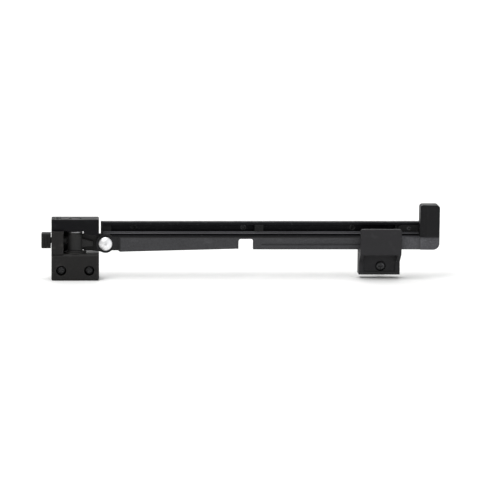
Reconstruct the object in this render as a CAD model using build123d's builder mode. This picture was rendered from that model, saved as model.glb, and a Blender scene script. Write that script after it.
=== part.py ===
from build123d import *
import os

# A friction stay hinge for a top-hung, push-out window, shut.
# X runs along the sill, +Y points out of the room, +Z is up. The origin lies on the wall plane
# (y = 0, the bracket's back face), midway between the two screws of the frame bracket.
# The bracket and the keeper are screwed to the fixed frame, the track to the moving sash.

# ------------------------------------------------------------------ driving sizes, in millimetres
BRACKET_WIDTH = 34.0
BRACKET_TOP = 36.6
BRACKET_BOTTOM = -7.1
BRACKET_DEPTH = 21.0
SASH_GAP = 0.8  # the bracket's upper half stands this far clear of the sash

SWIVEL_Y = -12.5  # the vertical swing axis is at x = 0 and this y
RIVET_X = 21.6  # the arm's tilting rivet, on an axis along Y
RIVET_Z = 18.7
ELBOW_X = 218.0  # the arm's far pivot, on a vertical axis at y = SWIVEL_Y

ARM_TOP = 23.5
ARM_FRONT = -16.0
ARM_BACK = -9.0
ARM_START = 30.5
ARM_END = 211.5

KEEPER_LEFT = 204.3
KEEPER_RIGHT = 233.9
KEEPER_BOTTOM = -4.2
KEEPER_TOP = 30.0

ELBOW_LEFT = 247.7  # the elbow's upright leg
ELBOW_RIGHT = 261.4
ELBOW_BOTTOM = 15.0
ELBOW_TOP = 47.2

TRACK_LEFT = 19.7
TRACK_RIGHT = 260.0
TRACK_LOW = 22.8
TRACK_HIGH = 33.4
TRACK_DEPTH = 7.0

FRAME_SCREW_SPACING = 20.0
FRAME_SCREW_RADIUS = 1.9
TRACK_SCREW_RADIUS = 1.45
TRACK_SCREW_X = (42.0, 121.0, 200.0)
SHOE_TRAVEL = 95.0

RUNNING = 0.05  # radial clearance of a turning fit
GAP = 0.1  # between faces of two pieces that move past each other
OVERLAP = 1.0  # how far a cutter or a root runs past the face that it meets


def front_plane(y):
    """A sketch plane parallel to the window at that y: local axes X and Z, facing the room."""
    return Plane(origin=(0, y, 0), x_dir=(1, 0, 0), z_dir=(0, -1, 0))


def side_plane(x):
    """A sketch plane across the sill at that x: local axes Y and Z, facing +X."""
    return Plane(origin=(x, 0, 0), x_dir=(0, 1, 0), z_dir=(1, 0, 0))


def save(piece, name):
    """Labels a finished sub-part and writes it to its own STEP file."""
    piece.part.label = name
    export_step(piece.part, f"parts/{name}.step")


os.makedirs("parts", exist_ok=True)

# ------------------------------------------------------------------ frame bracket
FOOT_TOP = 11.8
FOOT_BEVEL = 1.1
FOOT_ROUND = 1.2
PILLAR_RIGHT = -8.5
PILLAR_ROUND = 1.1
BACK_WALL_RIGHT = -4.5
BACK_WALL_DEPTH = 2.7
BOSS_RADIUS = 8.0
BOSS_TOP = 13.0
CAP_BOTTOM = 28.2
PIN_RADIUS = 2.5
PIN_BOTTOM = 4.5
LOCK_Z = 21.0
LOCK_STEM_RADIUS = 2.0
LOCK_WELL_RADIUS = 3.3
LOCK_WELL_LEFT = -14.5
CAP_SCREW_X = -12.7
CAP_SCREW_Y = (-5.0, -14.0)
CAP_SCREW_RADIUS = 1.5
CAP_SCREW_BOTTOM = 25.6
SCREW_SEAT_DEPTH = 16.0  # of bracket left under a frame screw's head
SCREW_WELL_RADIUS = 3.7
CORE_WIDTH = 9.0
CORE_HEIGHT = 8.0
CORE_ROUND = 1.5
CORE_DEPTH = 9.0

half_width = BRACKET_WIDTH / 2
with BuildPart() as bracket_body:
    # the foot: a block that carries the two frame screws
    with BuildSketch(front_plane(0)):
        with Locations((0, BRACKET_BOTTOM)):
            Rectangle(
                BRACKET_WIDTH, FOOT_TOP - BRACKET_BOTTOM, align=(Align.CENTER, Align.MIN)
            )
    extrude(amount=BRACKET_DEPTH)
    foot_front = bracket_body.faces().sort_by(Axis.Y)[0]
    chamfer(foot_front.edges(), FOOT_BEVEL)
    fillet(bracket_body.faces().sort_by(Axis.Z)[0].edges().filter_by(Axis.Y), FOOT_ROUND)
    # the pillar that carries the cap, and the stop wall behind the knuckle
    with BuildSketch(Plane.XY.offset(FOOT_TOP)):
        with Locations((-half_width, -SASH_GAP)):
            Rectangle(
                PILLAR_RIGHT + half_width,
                BRACKET_DEPTH - SASH_GAP,
                align=(Align.MIN, Align.MAX),
            )
            Rectangle(
                BACK_WALL_RIGHT + half_width,
                BACK_WALL_DEPTH,
                align=(Align.MIN, Align.MAX),
            )
    extrude(amount=CAP_BOTTOM - FOOT_TOP)
    pillar_corner = (
        bracket_body.edges()
        .filter_by(Axis.Z)
        .filter_by_position(Axis.Z, FOOT_TOP + OVERLAP, CAP_BOTTOM)
        .group_by(Axis.Y)[0]
        .sort_by(Axis.X)[0]
    )
    fillet(pillar_corner, PILLAR_ROUND)
    # the round seat under the knuckle
    with BuildSketch(Plane.XY.offset(FOOT_TOP)):
        with Locations((0, SWIVEL_Y)):
            Circle(BOSS_RADIUS)
    extrude(amount=BOSS_TOP - FOOT_TOP)
    with Locations((0, SWIVEL_Y, BOSS_TOP)):
        Hole(PIN_RADIUS, depth=BOSS_TOP - PIN_BOTTOM)
    # wells for the frame screws
    for side in (-1, 1):
        well = Plane(
            origin=(side * FRAME_SCREW_SPACING / 2, -BRACKET_DEPTH, 0),
            x_dir=(1, 0, 0),
            z_dir=(0, -1, 0),
        )
        with Locations(well):
            CounterBoreHole(
                FRAME_SCREW_RADIUS + GAP,
                SCREW_WELL_RADIUS,
                BRACKET_DEPTH - SCREW_SEAT_DEPTH,
                BRACKET_DEPTH + OVERLAP,
            )
    # the moulding's coring pocket, in the back between the screws
    with BuildSketch(front_plane(0)):
        with Locations((0, 0)):
            RectangleRounded(CORE_WIDTH, CORE_HEIGHT, CORE_ROUND)
    extrude(amount=CORE_DEPTH, mode=Mode.SUBTRACT)
    # the lock slide's stem hole and spring well, along X through the pillar
    with BuildSketch(side_plane(-half_width - OVERLAP)):
        with Locations((SWIVEL_Y, LOCK_Z)):
            Circle(LOCK_STEM_RADIUS + RUNNING)
    extrude(amount=half_width + OVERLAP + PILLAR_RIGHT, mode=Mode.SUBTRACT)
    with BuildSketch(side_plane(LOCK_WELL_LEFT)):
        with Locations((SWIVEL_Y, LOCK_Z)):
            Circle(LOCK_WELL_RADIUS)
    extrude(amount=PILLAR_RIGHT - LOCK_WELL_LEFT, mode=Mode.SUBTRACT)
    # threaded sockets for the cap screws
    with Locations(*[(CAP_SCREW_X, y, CAP_BOTTOM) for y in CAP_SCREW_Y]):
        Hole(CAP_SCREW_RADIUS, depth=CAP_BOTTOM - CAP_SCREW_BOTTOM)
save(bracket_body, "bracket_body")

# ------------------------------------------------------------------ bracket cap and its screws
CAP_SETBACK = 2.6
CAP_CORNER = 2.0
CAP_ROUND = 1.0
SKIRT_THICKNESS = 1.8
SKIRT_LEFT = 5.8
SKIRT_ROOT = CAP_BOTTOM + 1.5
SKIRT_LEFT_LOW = 26.6
SKIRT_RIGHT_LOW = 24.6
PIN_HEAD_RADIUS = 4.5
PIN_HEAD_SEAT = 34.1
PIN_HEAD_TOP = 36.2
CAP_SCREW_HEAD_RADIUS = 2.8
CAP_SCREW_SEAT = 34.6
CAP_SCREW_HEAD_HEIGHT = 1.7
HEX_REACH = 1.4  # from a hexagon socket's middle to its corners
HEX_DEPTH = 1.1

with BuildPart() as bracket_cap:
    with BuildSketch(Plane.XY.offset(CAP_BOTTOM)):
        with Locations((0, -SASH_GAP)):
            Rectangle(
                BRACKET_WIDTH,
                BRACKET_DEPTH - CAP_SETBACK - SASH_GAP,
                align=(Align.CENTER, Align.MAX),
            )
    extrude(amount=BRACKET_TOP - CAP_BOTTOM)
    front_uprights = bracket_cap.edges().filter_by(Axis.Z).group_by(Axis.Y)[0]
    fillet(front_uprights.sort_by(Axis.X)[0], CAP_CORNER)
    fillet(bracket_cap.faces().sort_by(Axis.Z)[-1].edges(), CAP_ROUND)
    # a skirt that slopes down towards the arm's rivet
    with BuildSketch(front_plane(CAP_SETBACK - BRACKET_DEPTH + SKIRT_THICKNESS)):
        with BuildLine():
            Polyline(
                (SKIRT_LEFT, SKIRT_ROOT),
                (SKIRT_LEFT, SKIRT_LEFT_LOW),
                (half_width, SKIRT_RIGHT_LOW),
                (half_width, SKIRT_ROOT),
                close=True,
            )
        make_face()
    extrude(amount=SKIRT_THICKNESS)
    with Locations((0, SWIVEL_Y, BRACKET_TOP)):
        CounterBoreHole(PIN_RADIUS, PIN_HEAD_RADIUS + GAP, BRACKET_TOP - PIN_HEAD_SEAT)
    with Locations(*[(CAP_SCREW_X, y, BRACKET_TOP) for y in CAP_SCREW_Y]):
        CounterBoreHole(
            CAP_SCREW_RADIUS, CAP_SCREW_HEAD_RADIUS + GAP, BRACKET_TOP - CAP_SCREW_SEAT
        )
save(bracket_cap, "bracket_cap")

with BuildPart() as cap_screws:
    for screw_y in CAP_SCREW_Y:
        with BuildSketch(Plane.XY.offset(CAP_SCREW_BOTTOM)):
            with Locations((CAP_SCREW_X, screw_y)):
                Circle(CAP_SCREW_RADIUS)
        extrude(amount=CAP_SCREW_SEAT - CAP_SCREW_BOTTOM)
        with BuildSketch(Plane.XY.offset(CAP_SCREW_SEAT)):
            with Locations((CAP_SCREW_X, screw_y)):
                Circle(CAP_SCREW_HEAD_RADIUS)
        extrude(amount=CAP_SCREW_HEAD_HEIGHT)
        with BuildSketch(Plane.XY.offset(CAP_SCREW_SEAT + CAP_SCREW_HEAD_HEIGHT)):
            with Locations((CAP_SCREW_X, screw_y)):
                RegularPolygon(HEX_REACH, 6)
        extrude(amount=-HEX_DEPTH, mode=Mode.SUBTRACT)
save(cap_screws, "cap_screws")

# ------------------------------------------------------------------ swivel pin and friction stack
PIN_HEAD_CHAMFER = 0.5
PIN_SLOT = 1.2

with BuildPart() as swivel_pin:
    with BuildSketch(Plane.XY.offset(PIN_BOTTOM)):
        with Locations((0, SWIVEL_Y)):
            Circle(PIN_RADIUS)
    extrude(amount=PIN_HEAD_SEAT - PIN_BOTTOM)
    with BuildSketch(Plane.XY.offset(PIN_HEAD_SEAT)):
        with Locations((0, SWIVEL_Y)):
            Circle(PIN_HEAD_RADIUS)
    extrude(amount=PIN_HEAD_TOP - PIN_HEAD_SEAT)
    chamfer(swivel_pin.faces().sort_by(Axis.Z)[-1].edges(), PIN_HEAD_CHAMFER)
    with BuildSketch(Plane.XY.offset(PIN_HEAD_TOP)):
        with Locations((0, SWIVEL_Y)):
            Rectangle(2 * PIN_HEAD_RADIUS, PIN_SLOT)
    extrude(amount=-PIN_SLOT, mode=Mode.SUBTRACT)
save(swivel_pin, "swivel_pin")

WASHER_RADIUS = 5.5
WASHER_THICKNESS = 0.8
WASHER_CHAMFER = 0.15
CONE_THICKNESS = 0.6
CONE_BORE = PIN_RADIUS + 0.3
KNUCKLE_BOTTOM = BOSS_TOP + WASHER_THICKNESS + GAP
KNUCKLE_TOP = 26.1


def flat_washer(bottom):
    """A friction washer round the swivel pin, standing on that height."""
    with BuildPart() as washer:
        with BuildSketch(Plane.XY.offset(bottom)):
            with Locations((0, SWIVEL_Y)):
                Circle(WASHER_RADIUS)
                Circle(PIN_RADIUS + GAP, mode=Mode.SUBTRACT)
        extrude(amount=WASHER_THICKNESS)
        chamfer(washer.edges().group_by(SortBy.LENGTH)[-1], WASHER_CHAMFER)
    return washer


save(flat_washer(BOSS_TOP), "friction_washer_lower")
save(flat_washer(KNUCKLE_TOP + GAP), "friction_washer_upper")

with BuildPart() as cone_spring_washer:
    washer_seat = KNUCKLE_TOP + GAP + WASHER_THICKNESS
    with BuildSketch(side_plane(0)):
        with BuildLine():
            Polyline(
                (SWIVEL_Y + WASHER_RADIUS, washer_seat),
                (SWIVEL_Y + WASHER_RADIUS, washer_seat + CONE_THICKNESS),
                (SWIVEL_Y + CONE_BORE, CAP_BOTTOM),
                (SWIVEL_Y + CONE_BORE, CAP_BOTTOM - CONE_THICKNESS),
                close=True,
            )
        make_face()
    revolve(axis=Axis((0, SWIVEL_Y, 0), (0, 0, 1)))
save(cone_spring_washer, "cone_spring_washer")

# ------------------------------------------------------------------ frame screws
SCREW_REACH = 12.0  # of shank behind the wall plane
SCREW_TIP = 3.0
TIP_RADIUS = 0.2
NECK_RELIEF = 0.2  # the plain neck under a head is this much thinner than the thread
SCREW_HEAD_RADIUS = 3.4
SCREW_HEAD_HEIGHT = 2.3
HEAD_FACE_SHARE = 0.6  # of the head's radius, flat on its face
HEAD_SIDE_SHARE = 0.55  # of the head's height, upright at its side
RECESS_SPAN = 3.9
RECESS_WIDTH = 0.8


def wood_screw(x, z, seat_y):
    """A pan-head screw along +Y: its head on seat_y, its tip in the frame."""
    head_face = seat_y - SCREW_HEAD_HEIGHT
    with BuildPart() as screw:
        with BuildSketch(Plane(origin=(x, 0, z), x_dir=(0, 1, 0), z_dir=(1, 0, 0))):
            with BuildLine():
                Polyline(
                    (head_face, 0),
                    (head_face, HEAD_FACE_SHARE * SCREW_HEAD_RADIUS),
                    (seat_y - HEAD_SIDE_SHARE * SCREW_HEAD_HEIGHT, SCREW_HEAD_RADIUS),
                    (seat_y, SCREW_HEAD_RADIUS),
                    (seat_y, FRAME_SCREW_RADIUS - NECK_RELIEF),
                    (0, FRAME_SCREW_RADIUS - NECK_RELIEF),
                    (0, FRAME_SCREW_RADIUS),
                    (SCREW_REACH - SCREW_TIP, FRAME_SCREW_RADIUS),
                    (SCREW_REACH, TIP_RADIUS),
                    (SCREW_REACH, 0),
                    close=True,
                )
            make_face()
        revolve(axis=Axis((x, 0, z), (0, 1, 0)))
        with BuildSketch(front_plane(head_face)):
            with Locations((x, z)):
                Rectangle(RECESS_SPAN, RECESS_WIDTH)
                Rectangle(RECESS_WIDTH, RECESS_SPAN)
        extrude(amount=-HEAD_SIDE_SHARE * SCREW_HEAD_HEIGHT, mode=Mode.SUBTRACT)
    return screw


frame_screw_pair = [
    wood_screw(side * FRAME_SCREW_SPACING / 2, 0, -SCREW_SEAT_DEPTH) for side in (-1, 1)
]
with BuildPart() as frame_screws:
    for one_screw in frame_screw_pair:
        add(one_screw.part)
save(frame_screws, "frame_screws")

# ------------------------------------------------------------------ lock slide and its spring
TAB_LEFT = -24.2
TAB_RIGHT = -half_width - 0.4
TAB_HEIGHT = 11.0
TAB_DEPTH = 9.0
TAB_CORNER = 1.5
TAB_ROUND = 0.9
RIDGE_SPACING = 2.0
RIDGE_WIDTH = 0.7
RIDGE_LENGTH = 8.0
RIDGE_DEPTH = 0.5
NOSE_TIP = -5.65
NOSE_ROUND = 1.8
COLLAR_LEFT = -8.9
COLLAR_RADIUS = 3.0
KNUCKLE_RADIUS = 5.5

with BuildPart() as lock_slide:
    with BuildSketch(side_plane(TAB_LEFT)):
        with Locations((SWIVEL_Y, LOCK_Z)):
            RectangleRounded(TAB_DEPTH, TAB_HEIGHT, TAB_CORNER)
    extrude(amount=TAB_RIGHT - TAB_LEFT)
    fillet(lock_slide.faces().sort_by(Axis.X)[0].edges(), TAB_ROUND)
    with BuildSketch(side_plane(TAB_RIGHT)):
        with Locations((SWIVEL_Y, LOCK_Z)):
            Circle(LOCK_STEM_RADIUS)
    extrude(amount=COLLAR_LEFT - TAB_RIGHT)
    with BuildSketch(side_plane(COLLAR_LEFT)):
        with Locations((SWIVEL_Y, LOCK_Z)):
            Circle(COLLAR_RADIUS)
    extrude(amount=NOSE_TIP - COLLAR_LEFT)
    fillet(lock_slide.faces().sort_by(Axis.X)[-1].edges(), NOSE_ROUND)
    # finger ridges across the tab's front
    with BuildSketch(front_plane(SWIVEL_Y - TAB_DEPTH / 2)):
        with GridLocations(RIDGE_SPACING, 0, 2, 1):
            with Locations(((TAB_LEFT + TAB_RIGHT) / 2, LOCK_Z)):
                Rectangle(RIDGE_WIDTH, RIDGE_LENGTH)
    extrude(amount=-RIDGE_DEPTH, mode=Mode.SUBTRACT)
save(lock_slide, "lock_slide")

SPRING_COIL_RADIUS = 2.65
SPRING_WIRE_RADIUS = 0.3
SPRING_PITCH = 1.15
SPRING_END_GAP = 0.05
with BuildPart() as lock_spring:
    with BuildLine():
        spring_path = Helix(
            pitch=SPRING_PITCH,
            height=COLLAR_LEFT - LOCK_WELL_LEFT - 2 * (SPRING_WIRE_RADIUS + SPRING_END_GAP),
            radius=SPRING_COIL_RADIUS,
            center=(LOCK_WELL_LEFT + SPRING_WIRE_RADIUS + SPRING_END_GAP, SWIVEL_Y, LOCK_Z),
            direction=(1, 0, 0),
        )
    with BuildSketch(Plane(origin=spring_path @ 0, z_dir=spring_path % 0)):
        Circle(SPRING_WIRE_RADIUS)
    sweep()
save(lock_spring, "lock_spring")

# ------------------------------------------------------------------ swivel knuckle and its bush
BUSH_RADIUS = 3.5
EAR_FRONT = -10.8
EAR_BACK = -7.8
EAR_ROOT_LOW = 14.9
EAR_ROOT_HIGH = 25.3
EAR_ROOT_WIDTH = 4.0
EAR_WEB_LEFT = 5.8
EAR_WEB_RIGHT = 18.0
EAR_WEB_LOW = 13.3
EAR_WEB_HIGH = 17.0
RIB_OUTLINE = ((0, 16.0), (12.5, 17.0), (12.5, 20.0), (4.0, 22.5), (0, 22.5))
RIB_THICKNESS = 3.6
KNUCKLE_CHAMFER = 0.4
NOTCH_RADIUS = 1.3
NOTCH_OFFSET = 0.5
EYE_RADIUS = 6.6
RIVET_RADIUS = 2.4

with BuildPart() as swivel_knuckle:
    with BuildSketch(Plane.XY.offset(KNUCKLE_BOTTOM)):
        with Locations((0, SWIVEL_Y)):
            Circle(KNUCKLE_RADIUS)
    extrude(amount=KNUCKLE_TOP - KNUCKLE_BOTTOM)
    chamfer(swivel_knuckle.edges().filter_by(GeomType.CIRCLE), KNUCKLE_CHAMFER)
    # the ear that carries the arm's rivet
    with BuildSketch(front_plane(EAR_BACK)):
        with Locations((RIVET_X, RIVET_Z)):
            Circle(EYE_RADIUS)
        with Locations((0, EAR_ROOT_LOW)):
            Rectangle(
                EAR_ROOT_WIDTH, EAR_ROOT_HIGH - EAR_ROOT_LOW, align=(Align.CENTER, Align.MIN)
            )
        make_hull()
        with Locations((EAR_WEB_LEFT, EAR_WEB_LOW)):
            Rectangle(
                EAR_WEB_RIGHT - EAR_WEB_LEFT,
                EAR_WEB_HIGH - EAR_WEB_LOW,
                align=(Align.MIN, Align.MIN),
            )
    extrude(amount=EAR_BACK - EAR_FRONT)
    # a stiffening rib between the knuckle and the ear
    with BuildSketch(front_plane(EAR_FRONT)):
        with BuildLine():
            Polyline(*RIB_OUTLINE, close=True)
        make_face()
    extrude(amount=RIB_THICKNESS)
    with Locations((0, SWIVEL_Y, KNUCKLE_TOP)):
        Hole(BUSH_RADIUS)
    with Locations(
        Plane(origin=(RIVET_X, EAR_FRONT, RIVET_Z), x_dir=(1, 0, 0), z_dir=(0, -1, 0))
    ):
        Hole(RIVET_RADIUS + RUNNING)
    # the groove that the lock slide's nose drops into when the arm is shut
    with BuildSketch(Plane.XY.offset(KNUCKLE_BOTTOM)):
        with Locations((-KNUCKLE_RADIUS - NOTCH_OFFSET, SWIVEL_Y)):
            Circle(NOTCH_RADIUS)
    extrude(amount=KNUCKLE_TOP - KNUCKLE_BOTTOM, mode=Mode.SUBTRACT)
save(swivel_knuckle, "swivel_knuckle")

with BuildPart() as swivel_bush:
    with BuildSketch(Plane.XY.offset(KNUCKLE_BOTTOM)):
        with Locations((0, SWIVEL_Y)):
            Circle(BUSH_RADIUS)
            Circle(PIN_RADIUS + RUNNING, mode=Mode.SUBTRACT)
    extrude(amount=KNUCKLE_TOP - KNUCKLE_BOTTOM)
save(swivel_bush, "swivel_bush")

# ------------------------------------------------------------------ stay arm
ARM_LOW_START = 12.9  # the lower edge rises from here to the notch
ARM_LOW_NOTCH = 15.1
ARM_LOW_RIGHT = 14.6
ARM_CORNER = 2.0
ARM_CHAMFER = 0.6
NOTCH_LEFT = 117.0
NOTCH_RIGHT = 127.6
NOTCH_TOP = 22.2
NOTCH_ROUND = 1.8
EYE_FRONT = -15.0
EYE_BACK = -11.6
NECK_END = 34.0
NECK_HALF_HEIGHT = 4.8
TONGUE_RADIUS = 5.0
TONGUE_LOW = 18.1
TONGUE_HIGH = 20.9
TONGUE_HALF_WIDTH = 3.3
ELBOW_PIN_RADIUS = 2.0
ARM_WALL = 1.7
ARM_SKIN = 2.2
GROOVE_LEFT = 133.6
GROOVE_RIGHT = 208.5
GROOVE_Z = 18.2
GROOVE_WIDTH = 1.3
GROOVE_DEPTH = 0.6
# the cored pockets in the arm's back, between these ribs
POCKETS = (
    (37.0, 61.0),
    (63.0, 87.0),
    (89.0, 114.0),
    (130.5, 154.5),
    (156.5, 181.5),
    (183.5, 208.5),
)


def arm_low_edge(x):
    """Height of the arm's lower edge, which rises towards the notch and is level after it."""
    if x > NOTCH_LEFT:
        return ARM_LOW_RIGHT
    share = (x - ARM_START) / (NOTCH_LEFT - ARM_START)
    return ARM_LOW_START + share * (ARM_LOW_NOTCH - ARM_LOW_START)


with BuildPart() as stay_arm:
    with BuildSketch(front_plane(ARM_BACK)):
        with BuildLine():
            Polyline(
                (ARM_START, ARM_LOW_START),
                (NOTCH_LEFT, ARM_LOW_NOTCH),
                (NOTCH_LEFT, NOTCH_TOP),
                (NOTCH_RIGHT, NOTCH_TOP),
                (NOTCH_RIGHT, ARM_LOW_RIGHT),
                (ARM_END, ARM_LOW_RIGHT),
                (ARM_END, ARM_TOP),
                (ARM_START, ARM_TOP),
                close=True,
            )
        make_face()
    extrude(amount=ARM_BACK - ARM_FRONT)
    cross_edges = stay_arm.edges().filter_by(Axis.Y)
    notch_roof = cross_edges.filter_by_position(Axis.Z, NOTCH_TOP - GAP, NOTCH_TOP + GAP)
    fillet(notch_roof, NOTCH_ROUND)
    left_corners = stay_arm.edges().filter_by(Axis.Y).group_by(Axis.X)[0]
    fillet(left_corners, ARM_CORNER)
    chamfer(stay_arm.faces().sort_by(Axis.Y)[0].edges(), ARM_CHAMFER)
    # the eye round the rivet, and its neck into the bar
    with BuildSketch(front_plane(EYE_BACK)):
        with Locations((RIVET_X, RIVET_Z)):
            Circle(EYE_RADIUS)
        with Locations((RIVET_X, RIVET_Z)):
            Rectangle(
                NECK_END - RIVET_X, 2 * NECK_HALF_HEIGHT, align=(Align.MIN, Align.CENTER)
            )
    extrude(amount=EYE_BACK - EYE_FRONT)
    with Locations(
        Plane(origin=(RIVET_X, EYE_FRONT, RIVET_Z), x_dir=(1, 0, 0), z_dir=(0, -1, 0))
    ):
        Hole(RIVET_RADIUS, depth=EYE_BACK - EYE_FRONT)
    # cored pockets in the back
    for left, right in POCKETS:
        with BuildSketch(front_plane(ARM_BACK)):
            with BuildLine():
                Polyline(
                    (left, arm_low_edge(left) + ARM_WALL),
                    (right, arm_low_edge(right) + ARM_WALL),
                    (right, ARM_TOP - ARM_WALL),
                    (left, ARM_TOP - ARM_WALL),
                    close=True,
                )
            make_face()
        extrude(amount=ARM_BACK - ARM_FRONT - ARM_SKIN, mode=Mode.SUBTRACT)
    # the shallow groove along the front, right of the notch
    with BuildSketch(front_plane(ARM_FRONT)):
        with Locations(((GROOVE_LEFT + GROOVE_RIGHT) / 2, GROOVE_Z)):
            SlotOverall(GROOVE_RIGHT - GROOVE_LEFT, GROOVE_WIDTH)
    extrude(amount=-GROOVE_DEPTH, mode=Mode.SUBTRACT)
    # the tongue that the elbow's pin goes through
    with BuildSketch(Plane.XY.offset(TONGUE_LOW)):
        with Locations((ELBOW_X, SWIVEL_Y)):
            Circle(TONGUE_RADIUS)
        with Locations((ARM_END - OVERLAP, SWIVEL_Y)):
            Rectangle(
                ELBOW_X - ARM_END + OVERLAP,
                2 * TONGUE_HALF_WIDTH,
                align=(Align.MIN, Align.CENTER),
            )
        with Locations((ELBOW_X, SWIVEL_Y)):
            Circle(ELBOW_PIN_RADIUS + RUNNING, mode=Mode.SUBTRACT)
    extrude(amount=TONGUE_HIGH - TONGUE_LOW)
save(stay_arm, "stay_arm")

# ------------------------------------------------------------------ arm rivet and its washers
RIVET_HEAD_RADIUS = 4.8
RIVET_HEAD_HEIGHT = 2.4
RIVET_TAIL_FRONT = -7.0
RIVET_TAIL_HEIGHT = 1.6
RIVET_TAIL_RADIUS = 3.7
RIVET_TAIL_EDGE = 0.7
RIVET_TAIL_FACE = 2.2
RIVET_BRIM = 0.6  # the upright edge under the dome
RIVET_BORE = 0.9  # the hollow that the drawn-out mandrel left
RIVET_BORE_FLOOR = EYE_FRONT - 0.8
RIVET_CROWN = EYE_FRONT - 2.3
FRICTION_WASHER_RADIUS = 5.8
BACK_WASHER_RADIUS = 3.9

with BuildPart() as arm_rivet:
    dome_height = RIVET_HEAD_HEIGHT - RIVET_BRIM
    dome_radius = (RIVET_HEAD_RADIUS**2 + dome_height**2) / (2 * dome_height)
    with BuildSketch(Plane(origin=(RIVET_X, 0, RIVET_Z), x_dir=(0, 1, 0), z_dir=(1, 0, 0))):
        with BuildLine():
            Polyline(
                (RIVET_BORE_FLOOR, 0),
                (RIVET_BORE_FLOOR, RIVET_BORE),
                (RIVET_CROWN, RIVET_BORE),
            )
            RadiusArc(
                (RIVET_CROWN, RIVET_BORE),
                (EYE_FRONT - RIVET_BRIM, RIVET_HEAD_RADIUS),
                dome_radius,
            )
            Polyline(
                (EYE_FRONT - RIVET_BRIM, RIVET_HEAD_RADIUS),
                (EYE_FRONT, RIVET_HEAD_RADIUS),
                (EYE_FRONT, RIVET_RADIUS),
                (RIVET_TAIL_FRONT, RIVET_RADIUS),
                (RIVET_TAIL_FRONT, RIVET_TAIL_RADIUS),
                (RIVET_TAIL_FRONT + RIVET_TAIL_EDGE, RIVET_TAIL_RADIUS),
                (RIVET_TAIL_FRONT + RIVET_TAIL_HEIGHT, RIVET_TAIL_FACE),
                (RIVET_TAIL_FRONT + RIVET_TAIL_HEIGHT, 0),
                (RIVET_BORE_FLOOR, 0),
            )
        make_face()
    revolve(axis=Axis((RIVET_X, 0, RIVET_Z), (0, 1, 0)))
save(arm_rivet, "arm_rivet")


def rivet_washer(front, back, radius):
    """A plain washer round the arm's rivet, from front to back along Y."""
    with BuildPart() as washer:
        with BuildSketch(front_plane(back)):
            with Locations((RIVET_X, RIVET_Z)):
                Circle(radius)
                Circle(RIVET_RADIUS, mode=Mode.SUBTRACT)
        extrude(amount=back - front)
    return washer


save(rivet_washer(EYE_BACK, EAR_FRONT - GAP, FRICTION_WASHER_RADIUS), "arm_friction_washer")
save(rivet_washer(EAR_BACK + GAP, RIVET_TAIL_FRONT, BACK_WASHER_RADIUS), "rivet_back_washer")

# ------------------------------------------------------------------ elbow grip and its pin
FORK_RADIUS = 5.1
FORK_HALF_WIDTH = 4.9
FORK_WEB = ELBOW_X + TONGUE_RADIUS + 0.6
LEG_FRONT = -18.5
LEG_BACK = -7.6
GRIP_FRONT = -20.0
FORK_LOW_TOP = 17.9
FORK_HIGH_BOTTOM = 21.1
HEEL_ROUND = 4.5
GRIP_ROUND = 2.2
BEVEL_X = 252.6
BEVEL_Y = -17.6
STUD_X = 252.8
STUD_Z = 28.9
STUD_RADIUS = 1.5
STUD_HEAD_RADIUS = 2.3
STUD_FRONT = -15.5
ELBOW_PIN_HEAD_RADIUS = 3.2
ELBOW_PIN_HEAD_HEIGHT = 0.9
ELBOW_PIN_ROUND = 0.6

with BuildPart() as elbow_grip:
    # the lying leg
    with BuildSketch(front_plane(LEG_BACK)):
        with Locations((FORK_WEB, ELBOW_BOTTOM)):
            Rectangle(
                ELBOW_RIGHT - FORK_WEB, ARM_TOP - ELBOW_BOTTOM, align=(Align.MIN, Align.MIN)
            )
    extrude(amount=LEG_BACK - LEG_FRONT)
    # the upright leg, which is the finger grip
    with BuildSketch(front_plane(LEG_BACK)):
        with Locations((ELBOW_LEFT, ELBOW_BOTTOM)):
            Rectangle(
                ELBOW_RIGHT - ELBOW_LEFT, ELBOW_TOP - ELBOW_BOTTOM, align=(Align.MIN, Align.MIN)
            )
    extrude(amount=LEG_BACK - GRIP_FRONT)
    cross = elbow_grip.edges().filter_by(Axis.Y)
    fillet(cross.group_by(Axis.X)[-1].sort_by(Axis.Z)[0], HEEL_ROUND)
    fillet(elbow_grip.edges().filter_by(Axis.Y).group_by(Axis.Z)[-1], GRIP_ROUND)
    # a broad bevel down the grip's inner front edge
    with BuildSketch(Plane.XY.offset(ARM_TOP)):
        with BuildLine():
            Polyline(
                (ELBOW_LEFT - OVERLAP, BEVEL_Y),
                (ELBOW_LEFT, BEVEL_Y),
                (BEVEL_X, GRIP_FRONT),
                (BEVEL_X, GRIP_FRONT - OVERLAP),
                (ELBOW_LEFT - OVERLAP, GRIP_FRONT - OVERLAP),
                close=True,
            )
        make_face()
    extrude(amount=ELBOW_TOP - ARM_TOP, mode=Mode.SUBTRACT)
    # the fork round the arm's tongue
    for low, high in ((ELBOW_BOTTOM, FORK_LOW_TOP), (FORK_HIGH_BOTTOM, ARM_TOP)):
        with BuildSketch(Plane.XY.offset(low)):
            with Locations((ELBOW_X, SWIVEL_Y)):
                Circle(FORK_RADIUS)
            with Locations((ELBOW_X, SWIVEL_Y)):
                Rectangle(
                    FORK_WEB + OVERLAP - ELBOW_X,
                    2 * FORK_HALF_WIDTH,
                    align=(Align.MIN, Align.CENTER),
                )
        extrude(amount=high - low)
    with Locations((ELBOW_X, SWIVEL_Y, ARM_TOP)):
        Hole(ELBOW_PIN_RADIUS)
    # the blind bore that the shoe's stud is pressed into
    with BuildSketch(front_plane(LEG_BACK)):
        with Locations((STUD_X, STUD_Z)):
            Circle(STUD_RADIUS)
    extrude(amount=LEG_BACK - STUD_FRONT, mode=Mode.SUBTRACT)
save(elbow_grip, "elbow_grip")

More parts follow.
